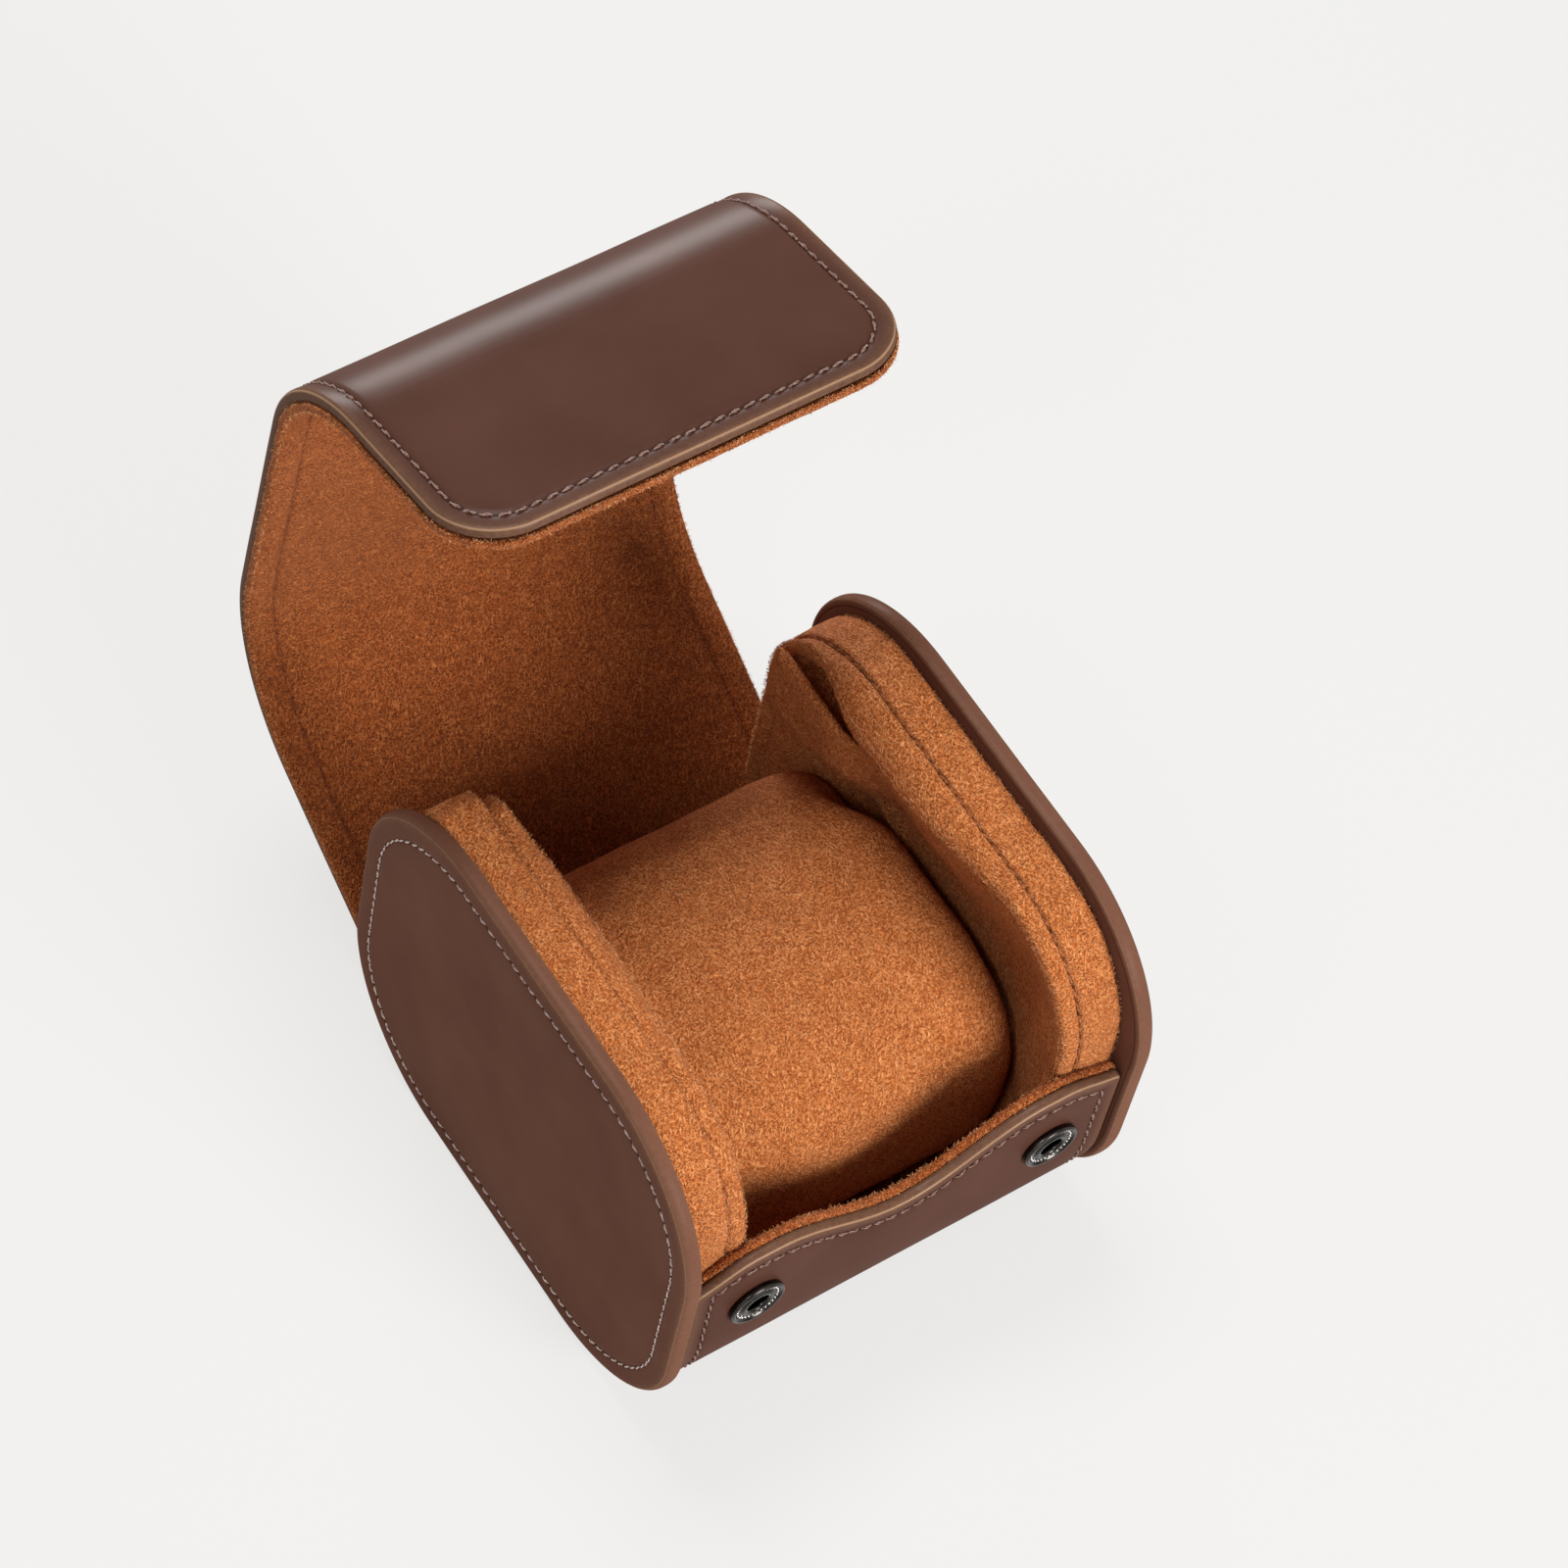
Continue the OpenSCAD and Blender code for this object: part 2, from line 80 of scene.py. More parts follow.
WALL_SEAT, LID_CLEAR = 0.2, 0.4
CUSHION_D, CUSHION_H, CUSHION_GAP, CUSHION_SEAT = 70, 49, 0.4, 0.3
SNAP_PITCH, SNAP_Z, SOCKET_R, SOCKET_H, SOCKET_HOLE_R = 57.2, 36.2, 5.05, 1.3, 2.0

# ---- what follows from them ----
LINING_AT = LEATHER_T + BOARD_T
WRAP_T = LINING_AT + LINING_T
WRAP_FRONT, WRAP_BACK = -CASE_D / 2 + FRONT_INSET, CASE_D / 2 - LID_INSET
WRAP_TOP, WRAP_R = CASE_H - LID_INSET, CORNER_R - LID_INSET
WRAP_HALF = CASE_W / 2 - END_T - SIDE_GAP
FLAP_FACE = WRAP_FRONT - FLAP_GAP - WRAP_T
END_INNER = CASE_W / 2 - END_T
SEAM_X = END_INNER - BAND_W
LIP_X = SEAM_X - LIP_W
WALL_FRONT = WRAP_FRONT + WRAP_T + WALL_SEAT
WALL_BOTTOM, WALL_TOP = WRAP_T + WALL_SEAT, WRAP_TOP - WRAP_T - LID_CLEAR
WALL_R = WRAP_R - WRAP_T - LID_CLEAR
CUSHION_W = 2 * (LIP_X - CUSHION_GAP)
CUSHION_MID = np.array([0, 0, WRAP_T + CUSHION_SEAT + CUSHION_H / 2])


def unit(degrees):
    a = math.radians(degrees)
    return np.array([math.cos(a), math.sin(a)])


def turned(p, centre, degrees):
    c, s = unit(degrees)
    q = np.asarray(p) - centre
    return np.asarray(centre) + np.array([q[0] * c - q[1] * s, q[0] * s + q[1] * c])


def on_arc(centre, r, degrees):
    c, s = unit(degrees)
    return np.asarray(centre) + r * np.array([s, -c])


LOW = np.array([WRAP_BACK - WRAP_R, WRAP_R])
TOP = np.array([WRAP_BACK - WRAP_R, WRAP_TOP - WRAP_R])
FRONT = np.array([FLAP_FACE + BEND_R, WRAP_TOP - BEND_R])
HINGE_AXIS = on_arc(LOW, WRAP_R - WRAP_T / 2, HINGE_FOLD)
BACK_AXIS = on_arc(TOP, WRAP_R - WRAP_T / 2, BEND_MID)
FRONT_AXIS = on_arc(FRONT, BEND_R - WRAP_T / 2, BEND_MID + 90)


def on_back(p):
    return turned(p, HINGE_AXIS, -LID_OPEN)


def on_top(p):
    return on_back(turned(p, BACK_AXIS, -BACK_OPEN))


def on_flap(p):
    return on_top(turned(p, FRONT_AXIS, -FLAP_OPEN))


# ---- the wrap's outer face as one path in the [y, z] plane ----

STRAIGHT_POINTS, BEND_POINTS = 24, 60


class Path:
    """Points and headings along a curve, looked up by the length travelled."""

    def __init__(self):
        self.p, self.a, self.s = [], [], [0.0]
        self.marks = {}

    def add(self, p, a):
        if self.p:
            step = float(np.linalg.norm(p - self.p[-1]))
            if step < 1e-9:
                return
            self.s.append(self.s[-1] + step)
        self.p.append(np.asarray(p, float))
        self.a.append(a)

    def straight(self, p0, p1, a):
        for t in np.linspace(0, 1, STRAIGHT_POINTS):
            self.add(p0 + (p1 - p0) * t, a)

    def arc(self, centre, r, a0, a1):
        for a in np.linspace(a0, a1, BEND_POINTS):
            self.add(on_arc(centre, r, a), a)

    def bend(self, p0, a0, p1, a1):
        pull = float(np.linalg.norm(p1 - p0)) * BEND_PULL
        q0, q1 = p0 + pull * unit(a0), p1 - pull * unit(a1)
        for t in np.linspace(0, 1, BEND_POINTS):
            u = 1 - t
            p = u**3 * p0 + 3 * u * u * t * q0 + 3 * u * t * t * q1 + t**3 * p1
            d = u * u * (q0 - p0) + 2 * u * t * (q1 - q0) + t * t * (p1 - q1)
            a = math.degrees(math.atan2(d[1], d[0]))
            self.add(p, a + 360 * round((a0 - a) / 360))

    def mark(self, name):
        self.marks[name] = self.s[-1]

    def close(self):
        self.p, self.a, self.s = np.array(self.p), np.array(self.a), np.array(self.s)

    def at(self, s, d):
        """Points at length s and depth d in from the outer face."""
        y, z = np.interp(s, self.s, self.p[:, 0]), np.interp(s, self.s, self.p[:, 1])
        a = np.radians(np.interp(s, self.s, self.a))
        return y - d * np.sin(a), z + d * np.cos(a)


FRONT_START_Z = 60
BACK_HEADING = 90 - LID_OPEN
TOP_HEADING = BACK_HEADING + 90 - BACK_OPEN
FLAP_HEADING = TOP_HEADING + 90 - FLAP_OPEN
wrap = Path()
wrap.straight(np.array([WRAP_FRONT, FRONT_START_Z]), np.array([WRAP_FRONT, WRAP_R]), -90)
wrap.arc([WRAP_FRONT + WRAP_R, WRAP_R], WRAP_R, -90, 0)
wrap.straight(np.array([WRAP_FRONT + WRAP_R, 0]), np.array([LOW[0], 0]), 0)
wrap.arc(LOW, WRAP_R, 0, HINGE_START)
wrap.mark("hinge_start")
wrap.bend(wrap.p[-1], HINGE_START, on_back([WRAP_BACK, LOW[1]]), BACK_HEADING)
wrap.mark("hinge_end")
wrap.straight(wrap.p[-1], on_back([WRAP_BACK, TOP[1]]), BACK_HEADING)
wrap.mark("back_start")
wrap.bend(wrap.p[-1], BACK_HEADING, on_top([TOP[0], WRAP_TOP]), TOP_HEADING)
wrap.mark("back_end")
wrap.straight(wrap.p[-1], on_top([FRONT[0], WRAP_TOP]), TOP_HEADING)
wrap.mark("front_start")
wrap.bend(wrap.p[-1], TOP_HEADING, on_flap([FLAP_FACE, FRONT[1]]), FLAP_HEADING)
wrap.mark("front_end")
wrap.straight(wrap.p[-1], on_flap([FLAP_FACE, FLAP_END_Z]), FLAP_HEADING)
wrap.mark("flap_end")
wrap.close()
MARK = wrap.marks
MID_BACK = (MARK["hinge_end"] + MARK["back_start"]) / 2
MID_TOP = (MARK["back_end"] + MARK["front_start"]) / 2


def smooth_step(t):
    return (1 - np.cos(np.pi * np.clip(t, 0, 1))) / 2


def front_edge(x):
    """Height of the front panel's edge: low ends, two humps and a scoop."""
    rise = smooth_step((WRAP_HALF - np.abs(x)) / (WRAP_HALF - HUMP_X - HUMP_FLAT))
    fall = smooth_step((HUMP_X - HUMP_FLAT - np.abs(x)) / (HUMP_X - HUMP_FLAT))
    return FRONT_END_Z + HUMP_RISE * rise - SCOOP_DEPTH * fall


# ---- mesh helpers ----


def make_mesh(name, verts, faces, material, edge=None):
    """A smooth object from millimetre points; edge holds a number for each of them."""
    mesh = bpy.data.meshes.new(name)
    mesh.from_pydata((np.asarray(verts) * MM).tolist(), [], faces)
    if edge is not None:
        mesh.attributes.new("edge", "FLOAT", "POINT").data.foreach_set(
            "value", np.asarray(edge, np.float32))
    mesh.polygons.foreach_set("use_smooth", [True] * len(mesh.polygons))
    mesh.materials.append(material)
    mesh.validate()
    obj = bpy.data.objects.new(name, mesh)
    bpy.context.scene.collection.objects.link(obj)
    return obj


def quads(rows, cols, base, closed=True, flip=False):
    """Faces between rows of points that are numbered from base, row after row."""
    faces = []
    for i in range(base, base + (rows - 1) * cols, cols):
        for j in range(cols if closed else cols - 1):
            k = (j + 1) % cols
            f = [i + j, i + k, i + cols + k, i + cols + j]
            faces.append(f[::-1] if flip else f)
    return faces


WELD = 1e-4


class Build:
    """Collects points and faces, and joins points that lie on each other."""

    def __init__(self):
        self.verts, self.faces, self.edge = [], [], []
        self.count = 0

    def grid(self, points, edge=0.0, closed=False, flip=False):
        """points has shape rows x columns x 3; closed joins the last column to the first."""
        rows, cols = points.shape[:2]
        self.verts.append(points.reshape(-1, 3))
        self.edge.append(np.broadcast_to(edge, (rows, cols)).reshape(-1))
        self.faces += quads(rows, cols, self.count, closed, flip)
        self.count += rows * cols

    def fan(self, ring, centre, edge=0.0, flip=False):
        """Closes a ring of points onto one centre point."""
        base = self.count
        self.verts.append(np.vstack([ring, centre]))
        self.edge.append(np.full(len(ring) + 1, edge))
        self.count += len(ring) + 1
        for j in range(len(ring)):
            f = [base + j, base + (j + 1) % len(ring), base + len(ring)]
            self.faces.append(f[::-1] if flip else f)

    def make(self, name, material):
        verts, edge = np.vstack(self.verts), np.concatenate(self.edge)
        keys = np.round(verts / WELD).astype(np.int64)
        _, first, index = np.unique(keys, axis=0, return_index=True, return_inverse=True)
        index = index.reshape(-1)
        faces = [list(dict.fromkeys(int(index[v]) for v in f)) for f in self.faces]
        return make_mesh(name, verts[first], [f for f in faces if len(f) > 2], material,
                         edge[first])


def lumps(points, size, depth, seed=0.0):
    """Smooth noise of that size and depth at each point, for soft unevenness."""
    flat = np.asarray(points).reshape(-1, 3)
    out = [noise.noise(Vector((p[0] / size + seed, p[1] / size, p[2] / size))) for p in flat]
    return depth * np.array(out).reshape(np.asarray(points).shape[:-1])


# ---- sheets of the wrap: a plan of [x, s] with rolled edges, laid on the path ----


class Plan:
    """One stretch of the wrap, from a straight seam at s0 to its free end or a second seam."""

    def __init__(self, stretch, spacing):
        self.s0, self.s1 = stretch["seam"], stretch["free"]
        self.end, self.corner = stretch["end"], stretch["corner"]
        self.sign = -1 if self.end == "front" else 1
        self.rows = max(4, int(abs(self.s1 - self.s0) / spacing))
        self.cols = int(2 * WRAP_HALF / spacing)
        self.fan = max(3, int(self.corner / spacing))

    def end_s(self, x, e):
        if self.end == "front":
            return FRONT_START_Z - front_edge(x) + e
        return np.full(np.shape(x), self.s1 - e)

    def ring(self, e):
        """The outline inset by e: left side, free end and right side."""
        half = WRAP_HALF - e
        if self.end is None:
            s = np.linspace(self.s0, self.s1, self.rows + 1)
            left = np.column_stack([np.full(len(s), -half), s])
            return left, np.zeros((0, 2)), left[::-1] * [-1, 1]
        gap = self.corner - e
        r = (gap + math.sqrt(gap * gap + 0.4)) / 2  # about the gap, and never zero
        centre = float(self.end_s(half, e)) - self.sign * r
        s = np.linspace(self.s0, centre, self.rows + 1)
        side = np.column_stack([np.full(len(s), -half), s])

        def arc(a0, a1):
            a = np.linspace(a0, a1, self.fan + 1)[1:]
            return np.column_stack([-(half - r + r * np.cos(a)),
                                    centre + self.sign * r * np.sin(a)])
        left = np.vstack([side, arc(0, math.pi / 4)])
        turn = arc(math.pi / 4, math.pi / 2)
        x = np.linspace(-(half - r), half - r, self.cols + 1)[1:-1]
        line = np.column_stack([x, self.end_s(x, e)])
        end = np.vstack([turn, line, turn[::-1] * [-1, 1]])
        return left, end, left[::-1] * [-1, 1]

    def edges(self, e):
        """The outline inset by e as one line, or as two where the stretch has no free end."""
        left, end, right = self.ring(e)
        return [np.vstack([left, end, right])] if self.end else [left, right]

    def inside(self, e):
        """A grid of plan points that fills the outline inset by e; the free end's own line
        fades in towards it."""
        left, end, right = self.ring(e)
        right = right[::-1]
        u = np.linspace(0, 1, self.cols + 1)
        if self.end:
            last = np.vstack([left[-1:], end, right[-1:]])
            u = (last[:, 0] - last[0, 0]) / (last[-1, 0] - last[0, 0])
        rows = left[:, None] * (1 - u)[:, None] + right[:, None] * u[:, None]
        if self.end:
            run = np.abs(left[:, 1] - left[0, 1]) / abs(left[-1, 1] - left[0, 1])
            rows = rows + (run ** 8)[:, None, None] * (last - rows[-1])
        return rows


def on_wrap(plan, depth):
    """Points in space for plan points [x, s] at a depth in from the outer face."""
    y, z = wrap.at(plan[..., 1], depth)
    return np.stack([plan[..., 0], y, z], axis=-1)


def seam_shade_mark(e, seam=4.8, reach=0.55):
    """How much painted shade darkens the lining: 1 in its seam and 0 away from it."""
    return max(0.0, 1 - abs(e - seam) / reach)


def sheet(name, plan, profile, material, uneven, flip, mark=lambda e: e):
    """profile runs from the hidden under-edge inwards as [inset, depth] pairs."""
    build = Build()
    flip = flip != (plan.sign < 0)
    for lines in zip(*(plan.edges(e) for e, _ in profile)):
        points = np.stack([on_wrap(line, d + uneven(line, e))
                           for line, (e, d) in zip(lines, profile)])
        build.grid(points, np.array([mark(e) for e, _ in profile])[:, None], flip=not flip)
    e, d = profile[-1]
    inside = plan.inside(e)
    build.grid(on_wrap(inside, d + uneven(inside, e)), mark(e), flip=flip)
    return build.make(name, material)


# ---- materials ----


def colour(value):
    """Linear colour from a hex code or a grey level; any other value stays as it is."""
    if isinstance(value, (int, float)):
        return [value] * 3 + [1]
    if isinstance(value, str):
        raw = [int(value[i:i + 2], 16) / 255 for i in (0, 2, 4)]
        return [c / 12.92 if c < 0.04045 else ((c + 0.055) / 1.055) ** 2.4 for c in raw] + [1]
    return value


def feed(tree, socket, value):
    """Links an output to the socket, or sets the socket to a number or a colour."""
    if isinstance(value, bpy.types.NodeSocket):
        tree.links.new(value, socket)
    else:
        socket.default_value = colour(value) if isinstance(value, str) else value


def settle(tree, made, **settings):
    """Sets a node's own settings, and feeds its sockets, by name with _ for a space."""
    for key, value in settings.items():
        if hasattr(made, key):
            setattr(made, key, value)
        else:
            feed(tree, made.inputs[key.replace("_", " ")], value)
    return made


def node(tree, kind, **settings):
    return settle(tree, tree.nodes.new("ShaderNode" + kind), **settings)


def empty_tree(owner):
    owner.use_nodes = True
    owner.node_tree.nodes.clear()
    return owner.node_tree


def new_material(name):
    material = bpy.data.materials.new(name)
    tree = empty_tree(material)
    shader = node(tree, "BsdfPrincipled")
    node(tree, "OutputMaterial", Surface=shader.outputs["BSDF"])
    return material, tree, shader


def object_coords(tree):
    return node(tree, "TexCoord").outputs["Object"]


def noise_at(tree, size, detail=2.0, distortion=0.0, output="Fac"):
    """Noise whose features measure about size millimetres."""
    return node(tree, "TexNoise", Vector=object_coords(tree), Scale=1 / (size * MM),
                Detail=detail, Distortion=distortion).outputs[output]


def ramp(tree, source, stops):
    """The colour output of a ramp with [place, colour] stops."""
    made = node(tree, "ValToRGB", Fac=source)
    while len(made.color_ramp.elements) < len(stops):
        made.color_ramp.elements.new(0.5)
    for element, (place, value) in zip(made.color_ramp.elements, stops):
        element.position = place
        element.color = colour(value)
    return made.outputs[0]


def join(tree, made, values):
    """Feeds the node's active inputs in their order, and returns its output."""
    for socket, value in zip([i for i in made.inputs if i.enabled], values):
        feed(tree, socket, value)
    return [o for o in made.outputs if o.enabled][0]


def mix(tree, factor, a, b, blend="MIX"):
    made = node(tree, "Mix", data_type="RGBA", blend_type=blend)
    return join(tree, made, (factor, a, b))


def maths(tree, operation, a, b):
    return join(tree, node(tree, "Math", operation=operation), (a, b))


def weighted(tree, *terms, total=None):
    """The sum of [source, weight] terms and a total to start from."""
    for source, weight in reversed(terms):
        part = maths(tree, "MULTIPLY", source, weight)
        total = part if total is None else maths(tree, "ADD", part, total)
    return total


def edge_value(tree):
    return node(tree, "Attribute", attribute_name="edge").outputs["Fac"]


def blotched(tree, source, dark, light):
    """One tone in some places and the other elsewhere, as the source says."""
    return mix(tree, ramp(tree, source, [(0.3, 0), (0.7, 1)]), dark, light)


EDGE_REACH = 6.0


def leather_material(name, dark, light, coat):
    """Smooth leather, worn along its rims and creased by use, with a painted highlight along
    the crest of each rolled edge and painted shade in its stitch groove; "edge" is the distance
    from the rim in millimetres."""
    material, tree, shader = new_material(name)
    edge = maths(tree, "DIVIDE", edge_value(tree), EDGE_REACH)
    worn = ramp(tree, edge, [(0.0, 0.5), (0.07, 0.5), (0.2, 0.25), (0.4, 0)])
    # Painted highlight: a light tan line along the crest of each rolled edge.
    crest_highlight = ramp(tree, edge, [(0.025, 0), (0.05, 0.75), (0.085, 0)])
    # Painted shade: a dark line along the stitch groove.
    furrow_shade = ramp(tree, edge, [(0.48, 0), (0.56, 0.75), (0.6, 0.75), (0.68, 0)])
    cloud = noise_at(tree, 18, 3)
    rim = blotched(tree, noise_at(tree, 0.7, 4), "654735", "7B5D48")
    tone = mix(tree, worn, blotched(tree, cloud, dark, light), rim)
    tone = mix(tree, crest_highlight, tone, "A98669")
    tone = mix(tree, furrow_shade, tone, "2C1710")
    grain = noise_at(tree, 0.35, 3)
    pores = node(tree, "TexVoronoi", Vector=object_coords(tree),
                 Scale=1 / (0.9 * MM)).outputs["Distance"]
    crease = noise_at(tree, 5, 5, 1.5)
    height = weighted(tree, (grain, 0.4), (pores, 0.3), (crease, 1.6))
    bump = node(tree, "Bump", Height=height, Strength=0.3, Distance=0.0001)
    settle(tree, shader, Base_Color=tone, Normal=bump.outputs["Normal"],
           Roughness=weighted(tree, (cloud, 0.15), total=0.4), Specular_IOR_Level=0.0,
           Coat_Weight=coat, Coat_Roughness=0.33)
    return material


# How far the strokes swirl, how long and wide they are, and how their three layers are turned.
NAP_SWIRL, NAP_STROKE = 0.8, (0.9, 0.3, 0.3)
NAP_TURNS = ((20, 35, 10), (70, -30, 60), (-35, 15, 110))


def suede_material(name, tones):
    """Short strokes of nap that lie one way here and another way there; the "edge" attribute
    darkens the seams with painted shade.
    """
    material, tree, shader = new_material(name)
    swirl = noise_at(tree, 3.0, 2, output="Color")
    bent = join(tree, node(tree, "VectorMath", operation="MULTIPLY_ADD"),
                (swirl, [NAP_SWIRL * MM] * 3, object_coords(tree)))
    strokes = []
    for turn in NAP_TURNS:
        along = node(tree, "Mapping", vector_type="TEXTURE", Vector=bent,
                     Rotation=[math.radians(a) for a in turn],
                     Scale=[k * MM for k in NAP_STROKE]).outputs[0]
        strokes.append(node(tree, "TexNoise", Vector=along, Scale=1.0, Detail=1.0)
                       .outputs["Fac"])
    nap = maths(tree, "MAXIMUM", maths(tree, "MAXIMUM", strokes[0], strokes[1]), strokes[2])
    clump = noise_at(tree, 2.4, 2)
    cloud = noise_at(tree, 16, 2)
    height = weighted(tree, (nap, 0.9), (clump, 0.1))
    tone = ramp(tree, height, list(zip((0.48, 0.555, 0.62, 0.7), tones)))
    tinted = mix(tree, maths(tree, "MULTIPLY", cloud, 0.18), tone, "9A4A18")
    # Painted shade: where the edge attribute is 1, the suede is darker and redder.
    seam = ramp(tree, edge_value(tree), [(0.0, 1), (1.0, [0.6, 0.52, 0.48, 1])])
    bump = node(tree, "Bump", Height=height, Strength=1.0, Distance=0.0016)
    settle(tree, shader, Base_Color=mix(tree, 1.0, tinted, seam, "MULTIPLY"),
           Normal=bump.outputs["Normal"], Roughness=0.85, Specular_IOR_Level=0.2,
           Sheen_Weight=0.12, Sheen_Roughness=0.4, Sheen_Tint="F4B888")
    return material


def flecked_material(name, dark, light, size, detail, places=(0.35, 0.65), shine=0.0,
                     **settings):
    """Two tones in flecks of that size; shine varies the roughness with them."""
    material, tree, shader = new_material(name)
    fleck = noise_at(tree, size, detail)
    tone = ramp(tree, fleck, list(zip(places, (dark, light))))
    if shine:
        settings["Roughness"] = weighted(tree, (fleck, shine), total=settings["Roughness"])
    settle(tree, shader, Base_Color=tone, **settings)
    return material


def thread_material(name, dark, light):
    return flecked_material(name, dark, light, 0.35, 2, Roughness=0.7)


def metal_material(name, dark, light):
    return flecked_material(name, dark, light, 2.2, 3, (0.35, 0.7), 0.1, Roughness=0.14,
                            Metallic=1.0)


# One leather in two tones: painted shade darkens the wrap's copy, on which more lamp light
# falls, and painted light brightens the end panels' copy; they also differ in gloss.
SHADED_LEATHER = leather_material("leather", "462A20", "4F3228", 0.15)
LIT_PANEL_LEATHER = leather_material("panel_leather", "633F32", "6B4739", 0.06)
SUEDE = suede_material("suede", ("9A4C1A", "C46D34", "DA8548", "F2A76B"))
# The lid's lining is a darker copy of the suede: painted shade, for the shade under the lid's
# flap.
SHADED_LINING_SUEDE = suede_material("lining_suede", ("733310", "994C1C", "B25E2A", "CD7F47"))
FIBRE = flecked_material("suede_fibre", "A85E2C", "EDB17C", 0.8, 1, Roughness=0.8,
                         Specular_IOR_Level=0.2)
PANEL_THREAD = thread_material("panel_thread", "BFA093", "EBDAD2")
LID_THREAD = thread_material("lid_thread", "5E4236", "94756A")
SEAM_THREAD = thread_material("seam_thread", "6E3510", "B06A34")
GUNMETAL = metal_material("gunmetal", "2A2725", "4A4643")
BEAD_METAL = metal_material("bead_metal", "8E8A86", "C4C0BB")
BOARD = flecked_material("board", "756B5F", "9A9183", 0.8, 4, (0.3, 0.7), Roughness=0.9)

# ---- wrap: leather, lining and interlining in three stretches ----

LEATHER_EDGE = [(2.0, 2.0), (0.8, 2.0), (0.3, 1.9), (0.06, 1.66), (0.0, 1.36), (0.03, 0.96),
                (0.1, 0.62), (0.22, 0.36), (0.42, 0.15), (0.7, 0.05), (1.0, 0.02), (1.6, 0.04),
                (2.3, 0.1), (2.9, 0.2), (3.3, 0.3), (3.5, 0.32), (3.75, 0.24), (4.2, 0.07),
                (4.8, 0.0), (6.5, 0.0)]
LINING_EDGE = [(2.2, 2.02), (1.0, 2.04), (0.35, 2.08), (-0.05, 2.25), (-0.28, 2.6),
               (-0.28, 3.0), (-0.1, 3.4), (0.4, 3.74), (1.2, 3.92), (2.2, 3.96), (3.2, 3.92),
               (4.0, 3.78), (4.5, 3.58), (4.8, 3.5), (5.1, 3.56), (5.8, 3.66), (7.0, 3.68)]


def leather_uneven(line, e):
    return lumps(np.column_stack([line.reshape(-1, 2), np.zeros(line.size // 2)]),
                 22, 0.1).reshape(line.shape[:-1])


FLAP_RIM = 0.9


def suede_uneven(line, e):
    flat = np.column_stack([line.reshape(-1, 2), np.full(line.size // 2, e)])
    rough = (lumps(flat, 9, 0.12, 3.0) + lumps(flat, 1.1, 0.12, 9.0)).reshape(line.shape[:-1])
    on_flap = smooth_step((line[..., 1] - MARK["front_end"]) / 6)
    return rough + FLAP_RIM * on_flap * math.sin(math.pi * min(max((e + 0.4) / 5, 0), 1)) ** 0.7


STRETCHES = {  # covers starts with the stretch's panel and the bend beside it
    "body": dict(seam=MID_BACK, free=0.0, end="front", corner=1.5,
                 bodies=("root", "lid_back"), bend=("hinge_start", "hinge_end"),
                 covers=("body", "hinge")),
    "lid_back": dict(seam=MID_BACK, free=MID_TOP, end=None, corner=1.5,
                     bodies=("lid_back", "lid_top"), bend=("back_start", "back_end"),
                     covers=("lid_back", "back_crease")),
    "lid_flap": dict(seam=MID_TOP, free=MARK["flap_end"], end="flap", corner=FLAP_CORNER_R,
                     bodies=("lid_top", "lid_flap"), bend=("front_start", "front_end"),
                     covers=("lid_top", "front_crease", "flap")),
}


def stand_for(piece, stretch, layer, slot, parts=slice(None)):
    """The piece takes the place of that layer's nodes."""
    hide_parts(*(part + "_" + layer for part in stretch["covers"][parts]))
    fold(piece, stretch)


def fold(piece, stretch):
    """Bakes the transform of a piece of the wrap into its points; it is not bent across its
    stretch's joint.
    """
    start, end = (Vector((0, *wrap.at(MARK[m], WRAP_T / 2))) * MM for m in stretch["bend"])
    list(stretch["bodies"])
    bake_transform(piece)


LEATHER_GRID, SUEDE_GRID, THREAD_GRID = 1.4, 0.8, 0.7
SNAP_CUT_R = 4.4


def open_under_sockets(piece):
    """Takes out the leather that the sockets' rims cover, where the studs go in."""
    def covered(p):
        across, up = abs(p.x) / MM - SNAP_PITCH / 2, p.z / MM - SNAP_Z
        return abs(p.y / MM - WRAP_FRONT) < 1 and math.hypot(across, up) < SNAP_CUT_R
    work = bmesh.new()
    work.from_mesh(piece.data)
    hidden = [f for f in work.faces if all(covered(v.co) for v in f.verts)]
    bmesh.ops.delete(work, geom=hidden, context="FACES")
    work.to_mesh(piece.data)
    work.free()


def wrap_leather(name, stretch):
    piece = sheet(name + "_leather_cover", Plan(stretch, LEATHER_GRID), LEATHER_EDGE,
                  SHADED_LEATHER, leather_uneven, False)
    if name == "body":
        open_under_sockets(piece)
    stand_for(piece, stretch, "leather", "leather")


def wrap_lining(name, stretch):
    piece = sheet(name + "_suede_lining", Plan(stretch, SUEDE_GRID), LINING_EDGE,
                  SHADED_LINING_SUEDE, suede_uneven, True, seam_shade_mark)
    stand_for(piece, stretch, "lining", "suede")


def interlining(name, stretch):
    """The flexible strip between two boards, as a thin closed slab."""
    s0, s1 = (MARK[m] for m in stretch["bend"])
    half = WRAP_HALF - EDGE_T
    s = np.linspace(s0, s1, 25)
    outline = [(-half, LEATHER_T), (half, LEATHER_T), (half, LINING_AT), (-half, LINING_AT)]
    points = np.stack([on_wrap(np.column_stack([np.full(len(s), x), s]), d)
                       for x, d in outline], axis=1)
    build = Build()
    build.grid(points, closed=True)
    build.fan(points[0], points[0].mean(axis=0))
    build.fan(points[-1], points[-1].mean(axis=0), flip=True)
    piece = build.make(name + "_interlining_strip", BOARD)
    stand_for(piece, stretch, "interlining", "interlining", slice(1, 2))


# ---- stitches: two plies twisted round each other, sunk at both ends ----


